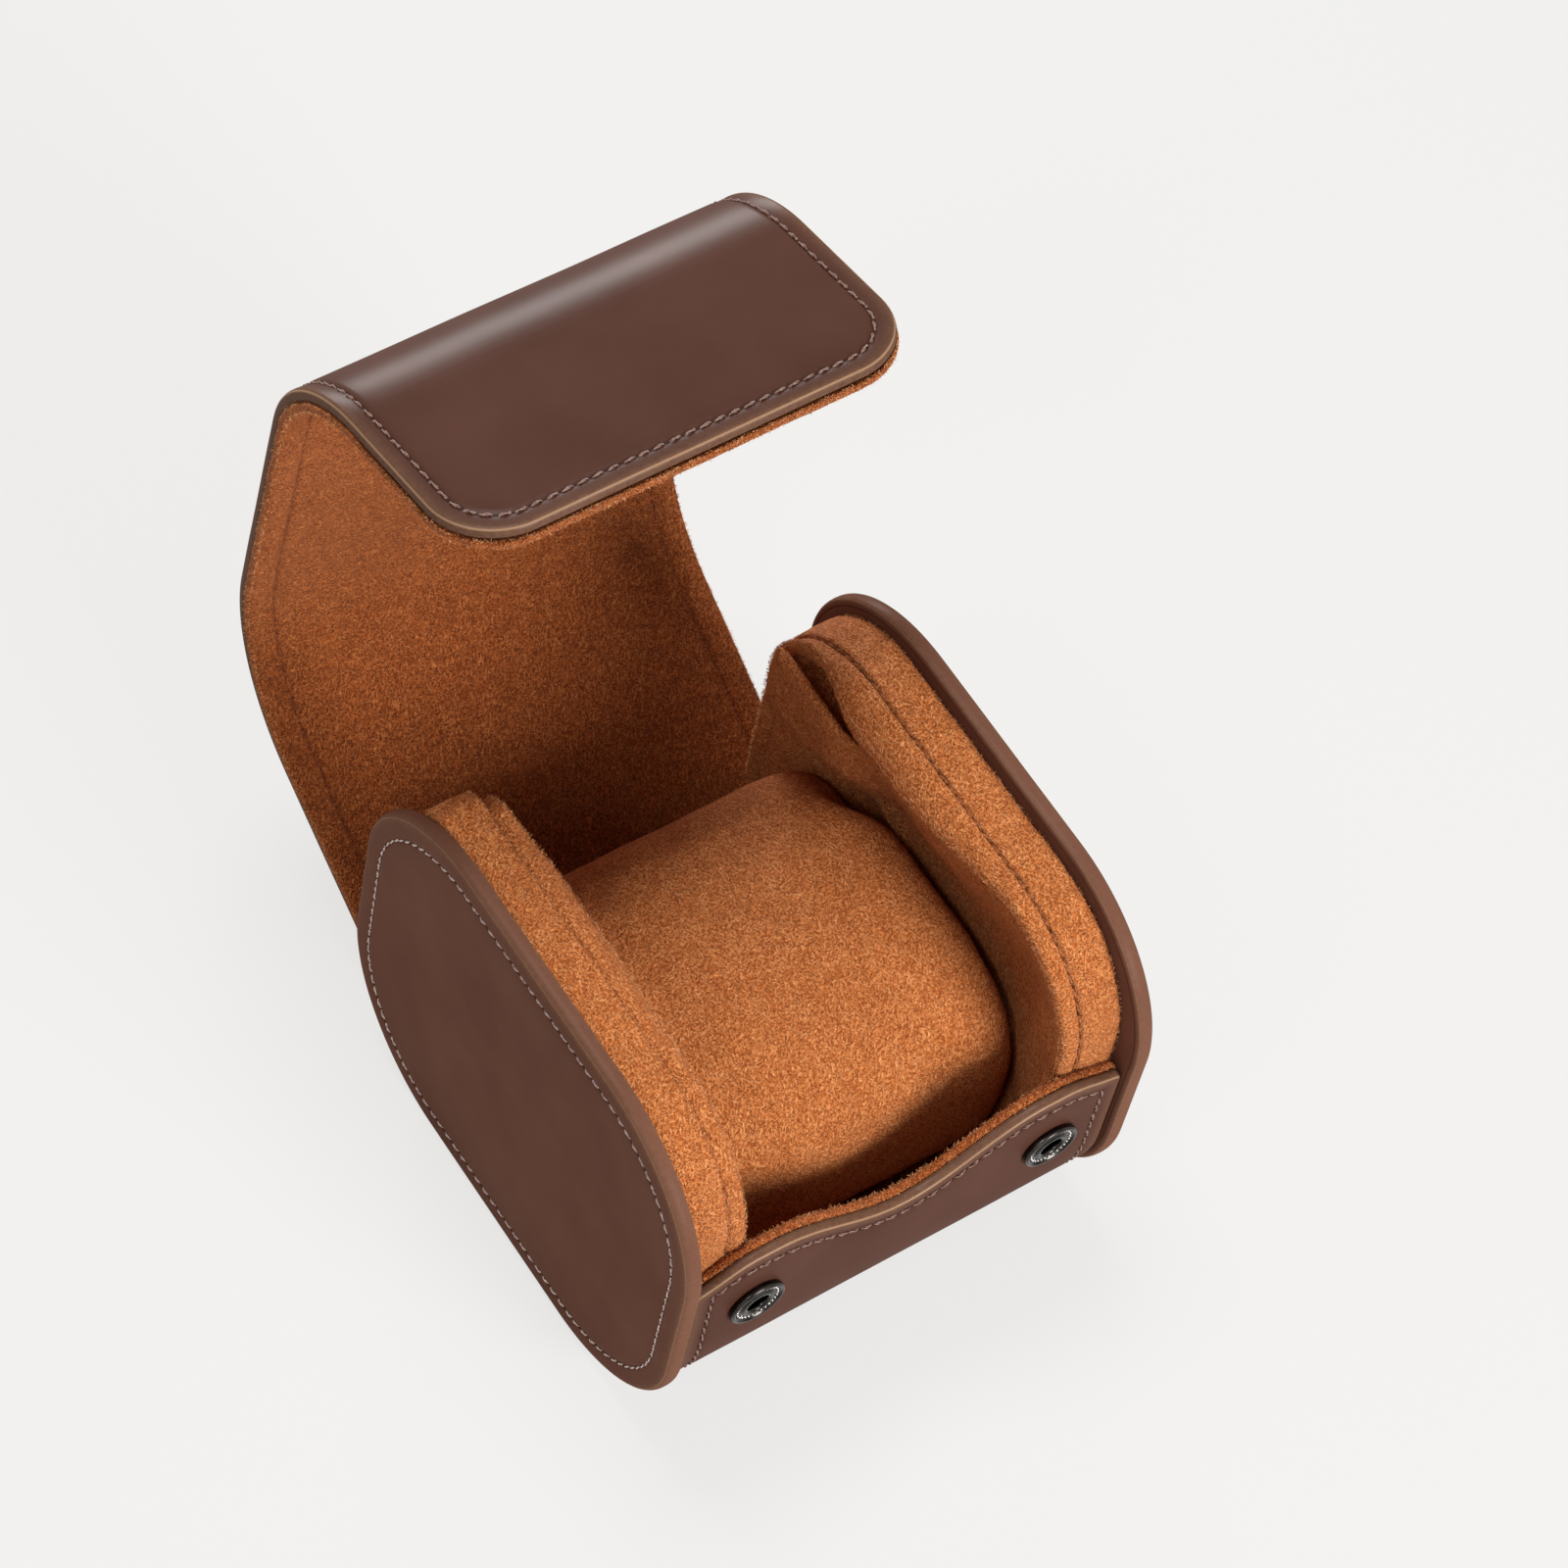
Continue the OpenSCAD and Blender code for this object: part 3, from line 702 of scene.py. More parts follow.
PLY_SIDES, PLY_TWIST, PLY_TIP = 5, 1.6 * math.pi, 0.35
STITCH_STEPS, STITCH_SLIP = 9, 0.06
# In radii of the thread: how high a stitch arches and how deep its ends sink, how far it
# slants, how far its plies lie from its middle and how thick they are.
ARCH, SINK, SLANT, PLY_OFF, PLY_R = 1.5, 1.1, 0.6, 0.5, 0.62


def tubes(lines, radius, sides):
    """Points and faces of a tube with closed ends along each line of points."""
    verts, faces, base = [], [], 0
    angles = np.linspace(0, 2 * math.pi, sides, endpoint=False)
    for line, side, up in lines:
        taper = np.ones(len(line))
        taper[[0, -1]] = PLY_TIP
        ring = (line[:, None] + radius * taper[:, None, None] * (
            np.cos(angles)[None, :, None] * side[:, None]
            + np.sin(angles)[None, :, None] * up[:, None]))
        verts.append(ring.reshape(-1, 3))
        faces += quads(len(line), sides, base)
        faces.append(list(range(base, base + sides))[::-1])
        base += len(line) * sides
        faces.append(list(range(base - sides, base)))
    return np.vstack(verts), faces


def travelled(line):
    """The length along a line up to each of its points."""
    return np.concatenate([[0], np.cumsum(np.linalg.norm(np.diff(line, axis=0), axis=1))])


def sampled(values, s, t):
    """Rows of values known at lengths s, looked up at lengths t."""
    return np.column_stack([np.interp(t, s, column) for column in values.T])


def normed(rows):
    return rows / np.maximum(np.linalg.norm(rows, axis=-1, keepdims=True), 1e-9)


def stitches(name, line, normal, pitch, gap, radius, material, closed=False):
    """Stitches along a dense line of points on a surface with those outward normals."""
    if closed:
        line, normal = np.vstack([line, line[:1]]), np.vstack([normal, normal[:1]])
    s = travelled(line)
    count = max(1, round(s[-1] / pitch))
    step = s[-1] / count
    plies = []
    for i in range(count):
        slip = float(random.uniform(-STITCH_SLIP, STITCH_SLIP)) * step
        t = np.clip(np.linspace(i * step + gap / 2 + slip, (i + 1) * step - gap / 2 + slip,
                                STITCH_STEPS), 0, s[-1])
        p = sampled(line, s, t)
        up = normed(sampled(normal, s, t))
        side = np.cross(up, normed(np.gradient(p, axis=0)))
        arch = np.sin(np.linspace(0, math.pi, STITCH_STEPS)) ** 0.5
        p = p + up * (radius * (ARCH * arch - SINK))[:, None]
        slant = np.linspace(-1, 1, STITCH_STEPS) * radius * SLANT
        p = p + side * slant[:, None]
        turn = np.linspace(0, PLY_TWIST, STITCH_STEPS) + float(random.uniform(0, 6.28))
        for ply in (0, math.pi):
            wave = radius * PLY_OFF * (np.cos(turn + ply)[:, None] * side
                                       + np.sin(turn + ply)[:, None] * up)
            plies.append((p + wave, side, up))
    verts, faces = tubes(plies, radius * PLY_R, PLY_SIDES)
    return make_mesh(name, verts, faces, material)


STITCH_INSET, STITCH_DEPTH = 3.45, 0.24
# The pitch of the stitches, the gap between two and the radius of their thread.
LID_STITCH, PANEL_STITCH, SEAM_STITCH = (2.7, 0.35, 0.24), (2.35, 0.4, 0.18), (2.5, 0.5, 0.2)


def wrap_stitches(name, stretch):
    plan = Plan(stretch, THREAD_GRID)
    for side, line in zip([""] if plan.end else ["_left", "_right"], plan.edges(STITCH_INSET)):
        on_face = on_wrap(line, STITCH_DEPTH)
        normal = on_wrap(line, STITCH_DEPTH - 1) - on_face
        fold(stitches(name + "_stitching" + side, on_face, normal, *LID_STITCH, LID_THREAD),
             stretch)


# ---- rounded outlines of the end panels and side walls ----


LEAST_R, RUN_ACROSS, RUN_UP = 1.2, 40, 23


def outline(y0, y1, z0, z1, radii, inset, spacing):
    """Points round a rounded rectangle in [y, z], with outward normals. The radii are those
    of the back top, front top, front bottom and back bottom corners."""
    radii = [max(r - inset, LEAST_R) for r in radii]
    y0, y1, z0, z1 = y0 + inset, y1 - inset, z0 + inset, z1 - inset
    spots = [(y1 - radii[0], z1 - radii[0], 0), (y0 + radii[1], z1 - radii[1], 90),
             (y0 + radii[2], z0 + radii[2], 180), (y1 - radii[3], z0 + radii[3], 270)]
    arc = int(CORNER_R * math.pi / 2 / spacing)
    points, normals = [], []
    for i, (y, z, a0) in enumerate(spots):
        for a in np.linspace(a0, a0 + 90, arc):
            points.append(np.array([y, z]) + radii[i] * unit(a))
            normals.append(unit(a))
        y2, z2, _ = spots[(i + 1) % 4]
        n = unit(a0 + 90)
        start = np.array([y, z]) + radii[i] * n
        stop = np.array([y2, z2]) + radii[(i + 1) % 4] * n
        runs = int((RUN_UP if i % 2 else RUN_ACROSS) / spacing)
        for t in np.linspace(0, 1, runs + 1)[1:-1]:
            points.append(start + (stop - start) * t)
            normals.append(n)
    return np.array(points), np.array(normals)


def end_ring(inset, spacing=1.2, side=1):
    """The end panel's outline, the same on either side."""
    return outline(-CASE_D / 2, CASE_D / 2, 0, CASE_H, [CORNER_R] * 4, inset, spacing)


PILE_TOP, PILE_R = 1.3, 22.5
# Where the foam ends at the back and how tight its corner is, left (-1) and right (1): the
# left wall is cut squarer than the right one.
BAND_END = {-1: (38.6, 5.5), 1: (44.3, 22.5)}
LIP_END = {-1: (36.2, 5.0), 1: (43.7, 22.5)}
PAD_END = {-1: (35.2, 4.5), 1: (41.2, 2.4)}
LIP_DROP = {-1: 1.4, 1: 0.2}
PAD_DROP, PAD_SINK = 0.5, 7.4


def foam_outline(end, drop, inset, spacing):
    """A wall layer's outline with that back end, its top that far below the band's."""
    back, r = end
    return outline(WALL_FRONT, back, WALL_BOTTOM, WALL_TOP + PILE_TOP - drop,
                   [r, PILE_R, WALL_R, WALL_R], inset, spacing)


def wall_ring(inset, spacing=0.7, side=1):
    """The band's outline: its foam stands a little proud of the wall's top."""
    return foam_outline(BAND_END[side], 0, inset, spacing)


def lip_ring(inset, spacing=0.7, side=1):
    """The lip ends a step before the band does at the back."""
    return foam_outline(LIP_END[side], LIP_DROP[side], inset, spacing)


def pad_ring(inset, spacing=0.8, side=1):
    """The pad's outline, whose top sinks below the lip towards the back."""
    yz, normal = foam_outline(PAD_END[side], PAD_DROP, inset, spacing)
    y, z = yz.T
    yz[:, 1] -= PAD_SINK * smooth_step((y + 28) / 30) * smooth_step((z - 48) / 18)
    return yz, normal


def high(yz):
    return smooth_step((yz[:, 1] - 42) / 12)


def back_top(yz):
    """1 at the top of the walls towards their back, and 0 in front and below."""
    return smooth_step((yz[:, 0] - 10) / 12) * high(yz)


def droop(yz):
    """Where the lip is wide and hangs: in the middle, and less and less to its back end."""
    y = yz[:, 0]
    return smooth_step((y + 28) / 36) * (1 - 1.3 * smooth_step((y - 18) / 20)) * high(yz)


def loft(build, ring, profile, side, edge=0.0, uneven=None, where=back_top):
    """Joins the outline at each row of the profile, [x, inset] or [x, inset, the change
    of x and of inset where that weight is 1]; side is -1 for the left."""
    rows = []
    for x, inset, *change in profile:
        yz, normal = ring(inset, side=side)
        x = np.full(len(yz), float(x))
        if change:
            amount = where(yz)
            x += change[0] * amount
            yz = yz - normal * (change[1] * amount)[:, None]
        rows.append(np.column_stack([side * x, yz]))
    rows = np.stack(rows)
    if uneven is not None:
        rows = uneven(rows)
    build.grid(rows, np.reshape(edge, (-1, 1)), closed=True, flip=side > 0)
    return rows


def fixed(piece, slot, *nodes):
    """The piece rides on the body of the case and stands for those nodes."""
    if nodes:
        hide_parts(*nodes)
    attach(piece, "root")


PANEL_STITCH_INSET = 4.5
HALF_W = CASE_W / 2
INNER_ROLL = [
    (0, 9.0, 6), (0, 5.0, 6), (0.05, 2.0, 6), (0.1, 0.9, 2), (0.22, 0.5, 0.9),
    (0.4, 0.25, 0.4), (0.65, 0.1, 0.9), (1.0, 0.03, 1.3), (1.5, 0.0, 1.5)]
OUTER_ROLL = [
    (-1.3, 0.03, 1.5), (-0.9, 0.14, 1.2), (-0.58, 0.34, 0.8), (-0.34, 0.62, 0.4),
    (-0.17, 0.98, 0.8), (-0.07, 1.4, 1.5), (0, 1.9, 2.2), (0.04, 2.5, 2.5), (0.02, 3.2, 2.6),
    (-0.06, 3.8, 2.7), (-0.2, 4.25, 3.1), (-0.3, 4.5, 3.45), (-0.22, 4.75, 3.8),
    (-0.06, 5.3, 4.4), (0, 6.2, 6), (0.02, 8.0, 6), (0.02, 11.0, 6), (0.02, 15.0, 6),
    (0.02, 20.0, 6), (0.02, 26.0, 6)]
# [x, inset, wear] from the hidden inner face round the rolled edge to the outer face; wear sets
# the worn colour and also where the painted crest highlight and the painted shade in the stitch
# groove fall.
PANEL_PROFILE = ([(END_INNER + x, *row) for x, *row in INNER_ROLL]
                 + [(HALF_W + x, *row) for x, *row in OUTER_ROLL])


def end_panel(name, side):
    def uneven(rows):
        rows[..., 0] += side * lumps(rows, 26, 0.08, 5.0 * side)
        return rows
    build = Build()
    profile = [row[:2] for row in PANEL_PROFILE]
    rows = loft(build, end_ring, profile, side, [row[2] for row in PANEL_PROFILE], uneven)
    centre = rows[-1].mean(axis=0)
    steps = np.stack([rows[-1] + (centre - rows[-1]) * t for t in (0, 0.35, 0.7)])
    build.grid(steps, EDGE_REACH, closed=True, flip=side > 0)
    build.fan(steps[-1], centre, EDGE_REACH, flip=side > 0)
    build.fan(rows[0], rows[0].mean(axis=0), EDGE_REACH, flip=side < 0)
    piece = build.make(name + "_end_leather_cover", LIT_PANEL_LEATHER)
    fixed(piece, "leather", name + "_end_leather")
    yz, _ = end_ring(PANEL_STITCH_INSET, 0.6)
    line = np.column_stack([np.full(len(yz), side * (HALF_W - 0.22)), yz])
    normal = np.tile([side, 0.0, 0.0], (len(line), 1))
    thread = stitches(name + "_end_stitching", line, normal, *PANEL_STITCH, PANEL_THREAD,
                      closed=True)
    fixed(thread, "leather")


# ---- suede side walls ----

BAND_PROFILE = [
    (END_INNER - 0.02, 3.2), (END_INNER - 0.05, 1.0), (END_INNER - 0.25, 0.25),
    (END_INNER - 0.8, -0.02), (40.0, -0.1), (39.0, -0.14), (38.0, -0.14), (37.0, -0.12),
    (36.2, -0.08), (35.4, -0.03), (34.8, 0.0), (34.3, 0.04), (33.95, 0.16),
    (33.75, 0.4), (33.64, 0.8), (33.6, 1.8), (33.6, 6.0), (33.6, 10.5),
    (END_INNER - 0.02, 10.5), (END_INNER - 0.02, 3.2)]
# How much painted shade darkens each row of the band, in its seam and under the lip.
BAND_SEAM_SHADE = [0] * 12 + [0.3, 0.7, 1, 1, 1, 1, 0, 0]
LIP_PROFILE = [
    (33.6, 3.4), (33.58, 1.2), (33.52, 0.7), (33.4, 0.38), (33.15, 0.15),
    (32.7, 0.02, -0.3, 0.1), (32.1, 0.0, -0.8, 0.5), (31.5, 0.02, -1.3, 1.1),
    (31.0, 0.1, -1.7, 1.9), (30.6, 0.3, -2.0, 2.7), (30.3, 0.7, -2.25, 3.5),
    (30.12, 1.3, -2.3, 4.1), (30.15, 2.1, -2.1, 4.4), (30.5, 3.0, -1.6, 4.0),
    (31.2, 3.9, -0.9, 3.2), (32.2, 4.6, -0.3, 2.4), (33.2, 5.0, 0, 2), (33.6, 5.1, 0, 2),
    (33.6, 3.4)]
# How much painted shade darkens each row of the lip, where it meets the band.
LIP_SEAM_SHADE = [1, 1, 0.8, 0.4] + [0] * 14 + [1]


PILE_SIZE, PILE_DEPTH = 1.0, 0.12


def pile(rows, seed):
    """Roughens rows of a lofted suede face along their own normals."""
    across = np.roll(rows, -1, axis=1) - np.roll(rows, 1, axis=1)
    shift = (lumps(rows, PILE_SIZE, PILE_DEPTH, seed)
             + lumps(rows, 7, 1.3 * PILE_DEPTH, seed + 4))
    return rows + normed(np.cross(across, np.gradient(rows, axis=0))) * shift[..., None]


def pressed(piece, *nodes):
    """A piece of the foam walls, fixed to the body of the case with a mesh of its own."""
    fixed(piece, "suede", *nodes)
    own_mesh(piece)


def wall_band(name, side):
    build = Build()
    loft(build, wall_ring, BAND_PROFILE, side, BAND_SEAM_SHADE,
         lambda rows: pile(rows, 11.0 * side))
    piece = build.make(name + "_side_band_suede", SUEDE)
    pressed(piece, name + "_side_band", name + "_side_core")


def wall_lip(name, side):
    build = Build()
    loft(build, lip_ring, LIP_PROFILE, side, LIP_SEAM_SHADE,
         lambda rows: pile(rows, 17.0 * side), droop)
    piece = build.make(name + "_side_lip_suede", SUEDE)
    pressed(piece, name + "_side_lip")


def wall_seam(name, side):
    """Small stitches sunk in the seam between band and lip."""
    yz, normal = lip_ring(0.35, 0.6, side)
    line = np.column_stack([np.full(len(yz), side * 33.58), yz])
    normal = np.column_stack([np.zeros(len(yz)), normal])
    pressed(stitches(name + "_side_seam", line, normal, *SEAM_STITCH, SEAM_THREAD,
                     closed=True))


PAD_PROFILE = [
    (35.0, 3.0, 0, 2.5), (33.4, 1.8, 0, 3.4), (32.3, 1.25, -0.7, 3.4),
    (31.8, 1.02, -2.0, 2.2), (31.6, 0.97, -2.8, 0.6), (31.5, 0.95, -3.2, 0),
    (31.15, 1.02, -3.4, 0), (30.9, 1.3, -3.5, 0), (30.85, 2.0, -3.6, 0), (31.0, 3.2, -3.8, 0),
    (31.3, 5.0, -4.1, 0), (31.9, 7.0, -4.6, 0), (32.8, 9.5, -5.3, 0), (33.9, 12.5, -6.0, 0),
    (34.9, 16.0, -6.4, 0), (35.6, 20.0, -6.3, 0), (36.0, 25.0, -6, 0)]


def wall_pad(name, side):
    build = Build()
    rows = loft(build, pad_ring, PAD_PROFILE, side,
                uneven=lambda rows: pile(rows, 23.0 * side))
    build.fan(rows[-1], rows[-1].mean(axis=0), flip=side > 0)
    piece = build.make(name + "_side_pad_suede", SUEDE)
    fixed(piece, "suede", name + "_side_pad")
    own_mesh(piece)


# ---- cushion ----


def rounded_power(c, power):
    return np.sign(c) * np.abs(c) ** (2 / power)


SWELL_CAP, SWELL_VOXEL, SWELL_PRESSURE, SWELL_FRAMES = 2.2, 2.2, 4, 14
CUSHION_SPREAD = 1.23
END_POWER, ROLL_POWER = 11.0, 3.0


def cushion():
    """A crowned roll, blown up by a short cloth simulation inside its own space."""
    rings, around = 36, 72
    u = np.linspace(-math.pi / 2, math.pi / 2, rings + 2)[1:-1]
    v = np.linspace(0, 2 * math.pi, around, endpoint=False)
    shrink = np.array([1.0, 1.2, 1.2])
    a = np.array([CUSHION_W, CUSHION_D, CUSHION_H]) / 2 - shrink
    s = rounded_power(np.cos(u), END_POWER)
    x = a[0] * rounded_power(np.sin(u), END_POWER)
    y = a[1] * s[:, None] * rounded_power(np.cos(v), ROLL_POWER)
    z = a[2] * s[:, None] * rounded_power(np.sin(v), ROLL_POWER)
    points = np.stack([np.broadcast_to(x[:, None], y.shape), y, z], axis=-1) + CUSHION_MID
    build = Build()
    build.grid(points, closed=True)
    build.fan(points[0], CUSHION_MID - [a[0], 0, 0])
    build.fan(points[-1], CUSHION_MID + [a[0], 0, 0], flip=True)
    piece = build.make("cushion_suede", SUEDE)
    bpy.context.view_layer.objects.active = piece
    swell(piece)
    swollen = np.array([w.co for w in piece.data.vertices]) / MM
    rough = lumps(swollen, PILE_SIZE, PILE_DEPTH, 31.0) + lumps(swollen, 8, 0.25, 37.0)
    normals = np.array([w.normal for w in piece.data.vertices])
    swollen = swollen + normals * rough[:, None]
    free = 1 - back_top(swollen[:, 1:] + [0, 6])
    side = np.clip(np.abs(swollen[:, 0]) / (CUSHION_W / 2), 0, 1) ** 2
    swollen[:, 0] *= 1 + (CUSHION_SPREAD - 1) * side * free
    piece.data.vertices.foreach_set("co", (swollen * MM).reshape(-1))
    piece.data.update()
    soften = piece.modifiers.new("soften", "SUBSURF")
    soften.levels = soften.render_levels = 1
    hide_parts("cushion_cover", "cushion_filling")
    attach(piece, "cushion")
    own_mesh(piece)


def swell(piece):
    """Cloth with pressure, its result kept and capped so that it stays in its space."""
    remesh = piece.modifiers.new("remesh", "REMESH")
    remesh.mode = "VOXEL"
    remesh.voxel_size = SWELL_VOXEL * MM
    remesh.use_smooth_shade = True
    bpy.ops.object.modifier_apply(modifier="remesh")
    start = np.array([v.co for v in piece.data.vertices])
    cloth = piece.modifiers.new("cloth", "CLOTH")
    cloth.settings.use_pressure = True
    cloth.settings.uniform_pressure_force = SWELL_PRESSURE
    cloth.settings.effector_weights.gravity = 0
    cloth.settings.mass = 0.05
    scene = bpy.context.scene
    for f in range(1, SWELL_FRAMES + 1):
        scene.frame_set(f)
    shape = piece.evaluated_get(bpy.context.evaluated_depsgraph_get()).data
    moved = np.array([v.co for v in shape.vertices])
    piece.modifiers.remove(cloth)
    scene.frame_set(1)
    shift = moved - start
    length = np.linalg.norm(shift, axis=1, keepdims=True)
    shift *= np.minimum(1, SWELL_CAP * MM / np.maximum(length, 1e-12))
    half = np.array([CUSHION_W, CUSHION_D, CUSHION_H]) / 2 * MM
    mid = CUSHION_MID * MM
    final = np.clip(start + shift, mid - half, mid + half)
    piece.data.vertices.foreach_set("co", final.reshape(-1))
    piece.data.update()


# ---- snaps ----


def lathe(profile, centre, steps):
    """Rings of [radius, height] turned round the -Y axis through centre."""
    a = np.linspace(0, 2 * math.pi, steps, endpoint=False)
    return np.stack([centre + np.column_stack([r * np.cos(a), np.full(steps, -h),
                                               r * np.sin(a)]) for r, h in profile])


# From the outer rim to the closed bottom.
SOCKET_PROFILE = [(SOCKET_R - 0.5, 0.0), (SOCKET_R - 0.1, 0.1), (SOCKET_R, 0.4),
                  (SOCKET_R, 0.9), (SOCKET_R - 0.1, 1.15), (SOCKET_R - 0.32, SOCKET_H),
                  (SOCKET_R - 0.58, SOCKET_H - 0.02), (SOCKET_R - 0.8, SOCKET_H - 0.2),
                  (SOCKET_R - 0.9, SOCKET_H - 0.45), (3.6, 0.8), (3.3, 0.82), (3.1, 1.05),
                  (2.8, 1.2), (2.45, 1.22), (2.15, 1.1), (SOCKET_HOLE_R, 0.9),
                  (SOCKET_HOLE_R, 0.3), (SOCKET_HOLE_R, -1.9),
                  (SOCKET_HOLE_R - 0.25, -2.2), (0.8, -2.3), (0.0, -2.3)]


def snap_sockets():
    build = Build()
    for sign in (-1, 1):
        centre = np.array([sign * SNAP_PITCH / 2, WRAP_FRONT, SNAP_Z])
        build.grid(lathe(SOCKET_PROFILE, centre, 64), closed=True, flip=True)
    fixed(build.make("snap_socket_rims", GUNMETAL), "gunmetal", "snap_sockets")


BEADS, BEAD_RING, BEAD_R, BEAD_LIFT = 30, 3.86, 0.27, 0.8


def snap_beads():
    """The ring of small half round beads that lies in each socket's groove."""
    build = Build()
    profile = [(BEAD_R * math.cos(t), BEAD_R * math.sin(t))
               for t in np.linspace(0, math.pi / 2, 5)[:-1]]
    for sign in (-1, 1):
        for i in range(BEADS):
            a = 2 * math.pi * i / BEADS
            mid = np.array([sign * SNAP_PITCH / 2 + BEAD_RING * math.cos(a),
                            WRAP_FRONT - BEAD_LIFT, SNAP_Z + BEAD_RING * math.sin(a)])
            rows = lathe(profile, mid, 10)
            build.grid(rows, closed=True, flip=True)
            build.fan(rows[-1], mid - [0, BEAD_R, 0], flip=True)
    fixed(build.make("snap_socket_beads", BEAD_METAL), "gunmetal")


# ---- fuzz: short tapered fibres along the cut edges of the suede ----


LINING_FIBRE, WALL_FIBRE, FIBRE_W = 0.5, 0.36, 0.055


def fibres(name, roots, away, length):
    """Three-sided tapered fibres from root points, leaning along the away directions."""
    roots, away = np.vstack(roots), np.vstack(away)
    count = len(roots)
    lean = normed(away + random.normal(0, 0.45, (count, 3)))
    size = length * random.uniform(0.5, 1.3, (count, 1))
    side = normed(np.cross(lean, random.normal(0, 1, (count, 3))))
    other = np.cross(lean, side)
    sag = random.normal(0, 0.25, (count, 3)) * size
    verts = []
    for t, w in ((0.0, 1.0), (0.55, 0.8)):
        spine = roots + lean * size * t + sag * t * t
        for k in range(3):
            a = 2 * math.pi * k / 3
            verts.append(spine + FIBRE_W * w * (math.cos(a) * side + math.sin(a) * other))
    verts.append(roots + lean * size + sag)
    verts = np.stack(verts, axis=1).reshape(-1, 3)
    faces = []
    for i in range(count):
        b = 7 * i
        faces.append([b + 2, b + 1, b])
        for k in range(3):
            j = (k + 1) % 3
            faces.append([b + k, b + j, b + 3 + j, b + 3 + k])
            faces.append([b + 3 + k, b + 3 + j, b + 6])
    return make_mesh(name, verts, faces, FIBRE)


def scatter(line, density):
    """Random places along a line of rows, that many per millimetre."""
    s = travelled(line)
    return sampled(line, s, np.sort(random.uniform(0, s[-1], int(s[-1] * density))))


def lining_fuzz(name, stretch):
    plan = Plan(stretch, SUEDE_GRID)
    roots, away = [], []
    for rim_and_far in zip(plan.edges(0.1), plan.edges(1.1)):
        spots = scatter(np.column_stack(rim_and_far), 18)
        depth = random.uniform(2.2, 3.75, len(spots))
        p = on_wrap(spots[:, :2], depth)
        q = on_wrap(spots[:, 2:], depth)
        up = on_wrap(spots[:, :2], depth + 1) - p
        roots.append(p)
        away.append((p - q) * 0.8 + up * ((depth - 2.9) * 0.7)[:, None])
    fold(fibres(name + "_lining_fuzz", roots, away, LINING_FIBRE), stretch)


# The ring that the fibres stand on, its x and inset, their lean inwards and how many per mm.
WALL_FUZZ = [(wall_ring, END_INNER - 0.5, 0.1, 0.4, 6.0), (wall_ring, 34.0, 0.1, 0.1, 4.0),
             (lip_ring, 30.5, 0.45, -1.0, 14.0), (lip_ring, 30.15, 1.2, -1.2, 6.0)]
LIP_HANG_X, LIP_HANG = 2.1, 3.2


def wall_fuzz(name, side):
    roots, away = [], []
    for ring, x, inset, push, density in WALL_FUZZ:
        both = np.column_stack(ring(inset, side=side))
        both = np.vstack([both, both[:1]])
        spots = scatter(both, density)
        amount = droop(spots[:, :2]) * (ring is lip_ring)
        across = np.full(len(spots), x) - LIP_HANG_X * amount
        place = spots[:, :2] - spots[:, 2:] * (LIP_HANG * amount)[:, None]
        p = np.column_stack([side * (across + random.uniform(-0.3, 0.3, len(spots))), place])
        roots.append(p)
        away.append(np.column_stack([np.full(len(spots), side * push), spots[:, 2:]]))
    pressed(fibres(name + "_side_fuzz", roots, away, WALL_FIBRE))


# ---- put it together ----

for item in STRETCHES.items():
    for make in (wrap_leather, wrap_lining, interlining, wrap_stitches, lining_fuzz):
        make(*item)
for item in (("left", -1), ("right", 1)):
    for make in (end_panel, wall_band, wall_lip, wall_pad, wall_seam, wall_fuzz):
        make(*item)
cushion()
snap_sockets()
snap_beads()

FINISH = {"gunmetal": GUNMETAL, "board": BOARD, "interlining": BOARD, "foam": BOARD,
          "leather": SHADED_LEATHER, "suede": SUEDE}
for part in frame["record"]["subparts"]:
    for place in frame["nodes"][part["node"]].material_slots:
        place.material = FINISH[part["material_slot"]]

# ---- floor, light and camera ----

PALE = "F2F1EF"
FLOOR_HALF, FLOOR_GLOW, FLOOR_SHARE = 4000, 0.945, 0.88


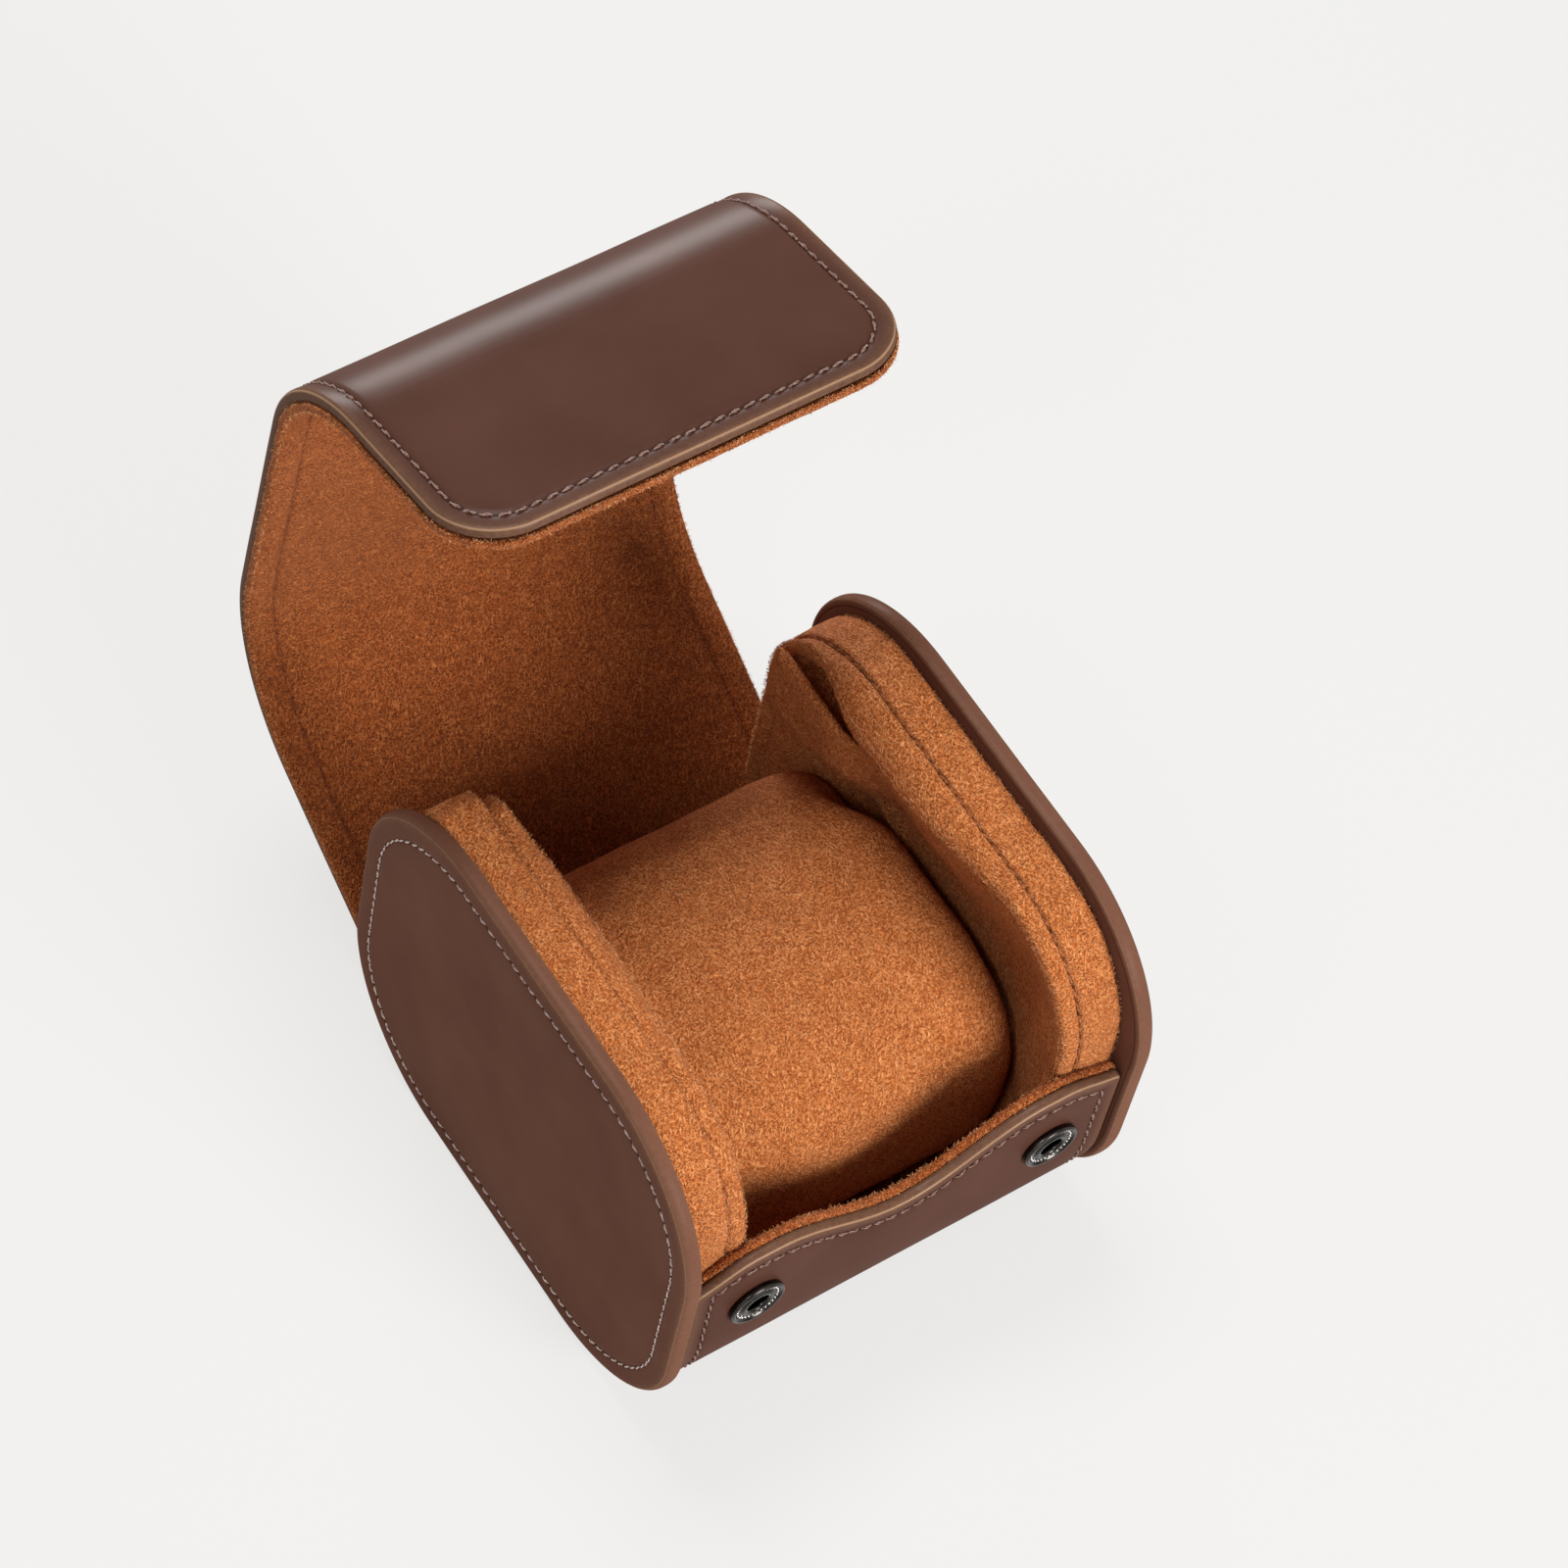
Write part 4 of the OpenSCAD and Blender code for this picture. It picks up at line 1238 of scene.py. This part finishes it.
def pale(owner, output, lit, shown, share=1.0):
    """Nodes that mix that share of the shown shader over the lit one where the surface is
    seen, directly, in a reflection or through glass. Each is a node kind and a strength."""
    tree = empty_tree(owner)
    path = node(tree, "LightPath").outputs
    seen = maths(tree, "MAXIMUM", path["Is Camera Ray"], path["Is Glossy Ray"])
    seen = maths(tree, "MAXIMUM", seen, path["Is Transmission Ray"])
    shaders = [node(tree, kind, Color=PALE, **strength).outputs[0]
               for kind, strength in (lit, shown)]
    blend = join(tree, node(tree, "MixShader"),
                 [maths(tree, "MULTIPLY", seen, share)] + shaders)
    node(tree, output, Surface=blend)


def backdrop():
    material = bpy.data.materials.new("floor")
    pale(material, "OutputMaterial", ("BsdfDiffuse", {}),
         ("Emission", {"Strength": FLOOR_GLOW}), FLOOR_SHARE)
    r = FLOOR_HALF
    make_mesh("floor", [(-r, -r, 0), (r, -r, 0), (r, r, 0), (-r, r, 0)],
                       [(0, 1, 2, 3)], material)


def world():
    made = bpy.data.worlds.new("studio")
    bpy.context.scene.world = made
    pale(made, "OutputWorld", ("Background", {"Strength": 0.1}),
         ("Background", {"Strength": 1.0}))


def lamp(name, place, target, size, power):
    data = bpy.data.lights.new(name, "AREA")
    data.shape = "DISK"
    data.size = size
    data.energy = power
    made = bpy.data.objects.new(name, data)
    made.location = place
    made.rotation_euler = (Vector(target) - Vector(place)).to_track_quat("-Z", "Y").to_euler()
    bpy.context.scene.collection.objects.link(made)


# The camera's place, and the directions of its right, up and back.
VIEW_PLACE = (-337.4, -329.4, 840.7)
VIEW_AXES = ((0.8285, -0.5442, 0.1325), (0.4086, 0.7491, 0.5213), (-0.3829, -0.3778, 0.8430))


def camera():
    data = bpy.data.cameras.new("camera")
    data.lens = 131.06
    data.sensor_width = 36
    data.sensor_fit = "HORIZONTAL"
    data.clip_start = 0.01
    made = bpy.data.objects.new("camera", data)
    right, up, back = VIEW_AXES
    place = Vector(VIEW_PLACE) * MM
    rows = [[right[i], up[i], back[i], place[i]] for i in range(3)] + [[0, 0, 0, 1]]
    made.matrix_world = Matrix(rows)
    bpy.context.scene.collection.objects.link(made)
    bpy.context.scene.camera = made


backdrop()
world()
AIM = (0, 0.01, 0.06)
lamp("front", (0.18, -1.0, 0.52), AIM, 0.55, 15)
lamp("back", (0.0, 0.4, 1.08), AIM, 0.5, 10)
lamp("side", (-0.75, -0.25, 0.95), AIM, 0.35, 2.4)
lamp("rim", (0.42, 1.05, 0.1), (0, 0.06, 0.13), 0.4, 10)
camera()
bpy.context.scene.view_settings.view_transform = "Standard"
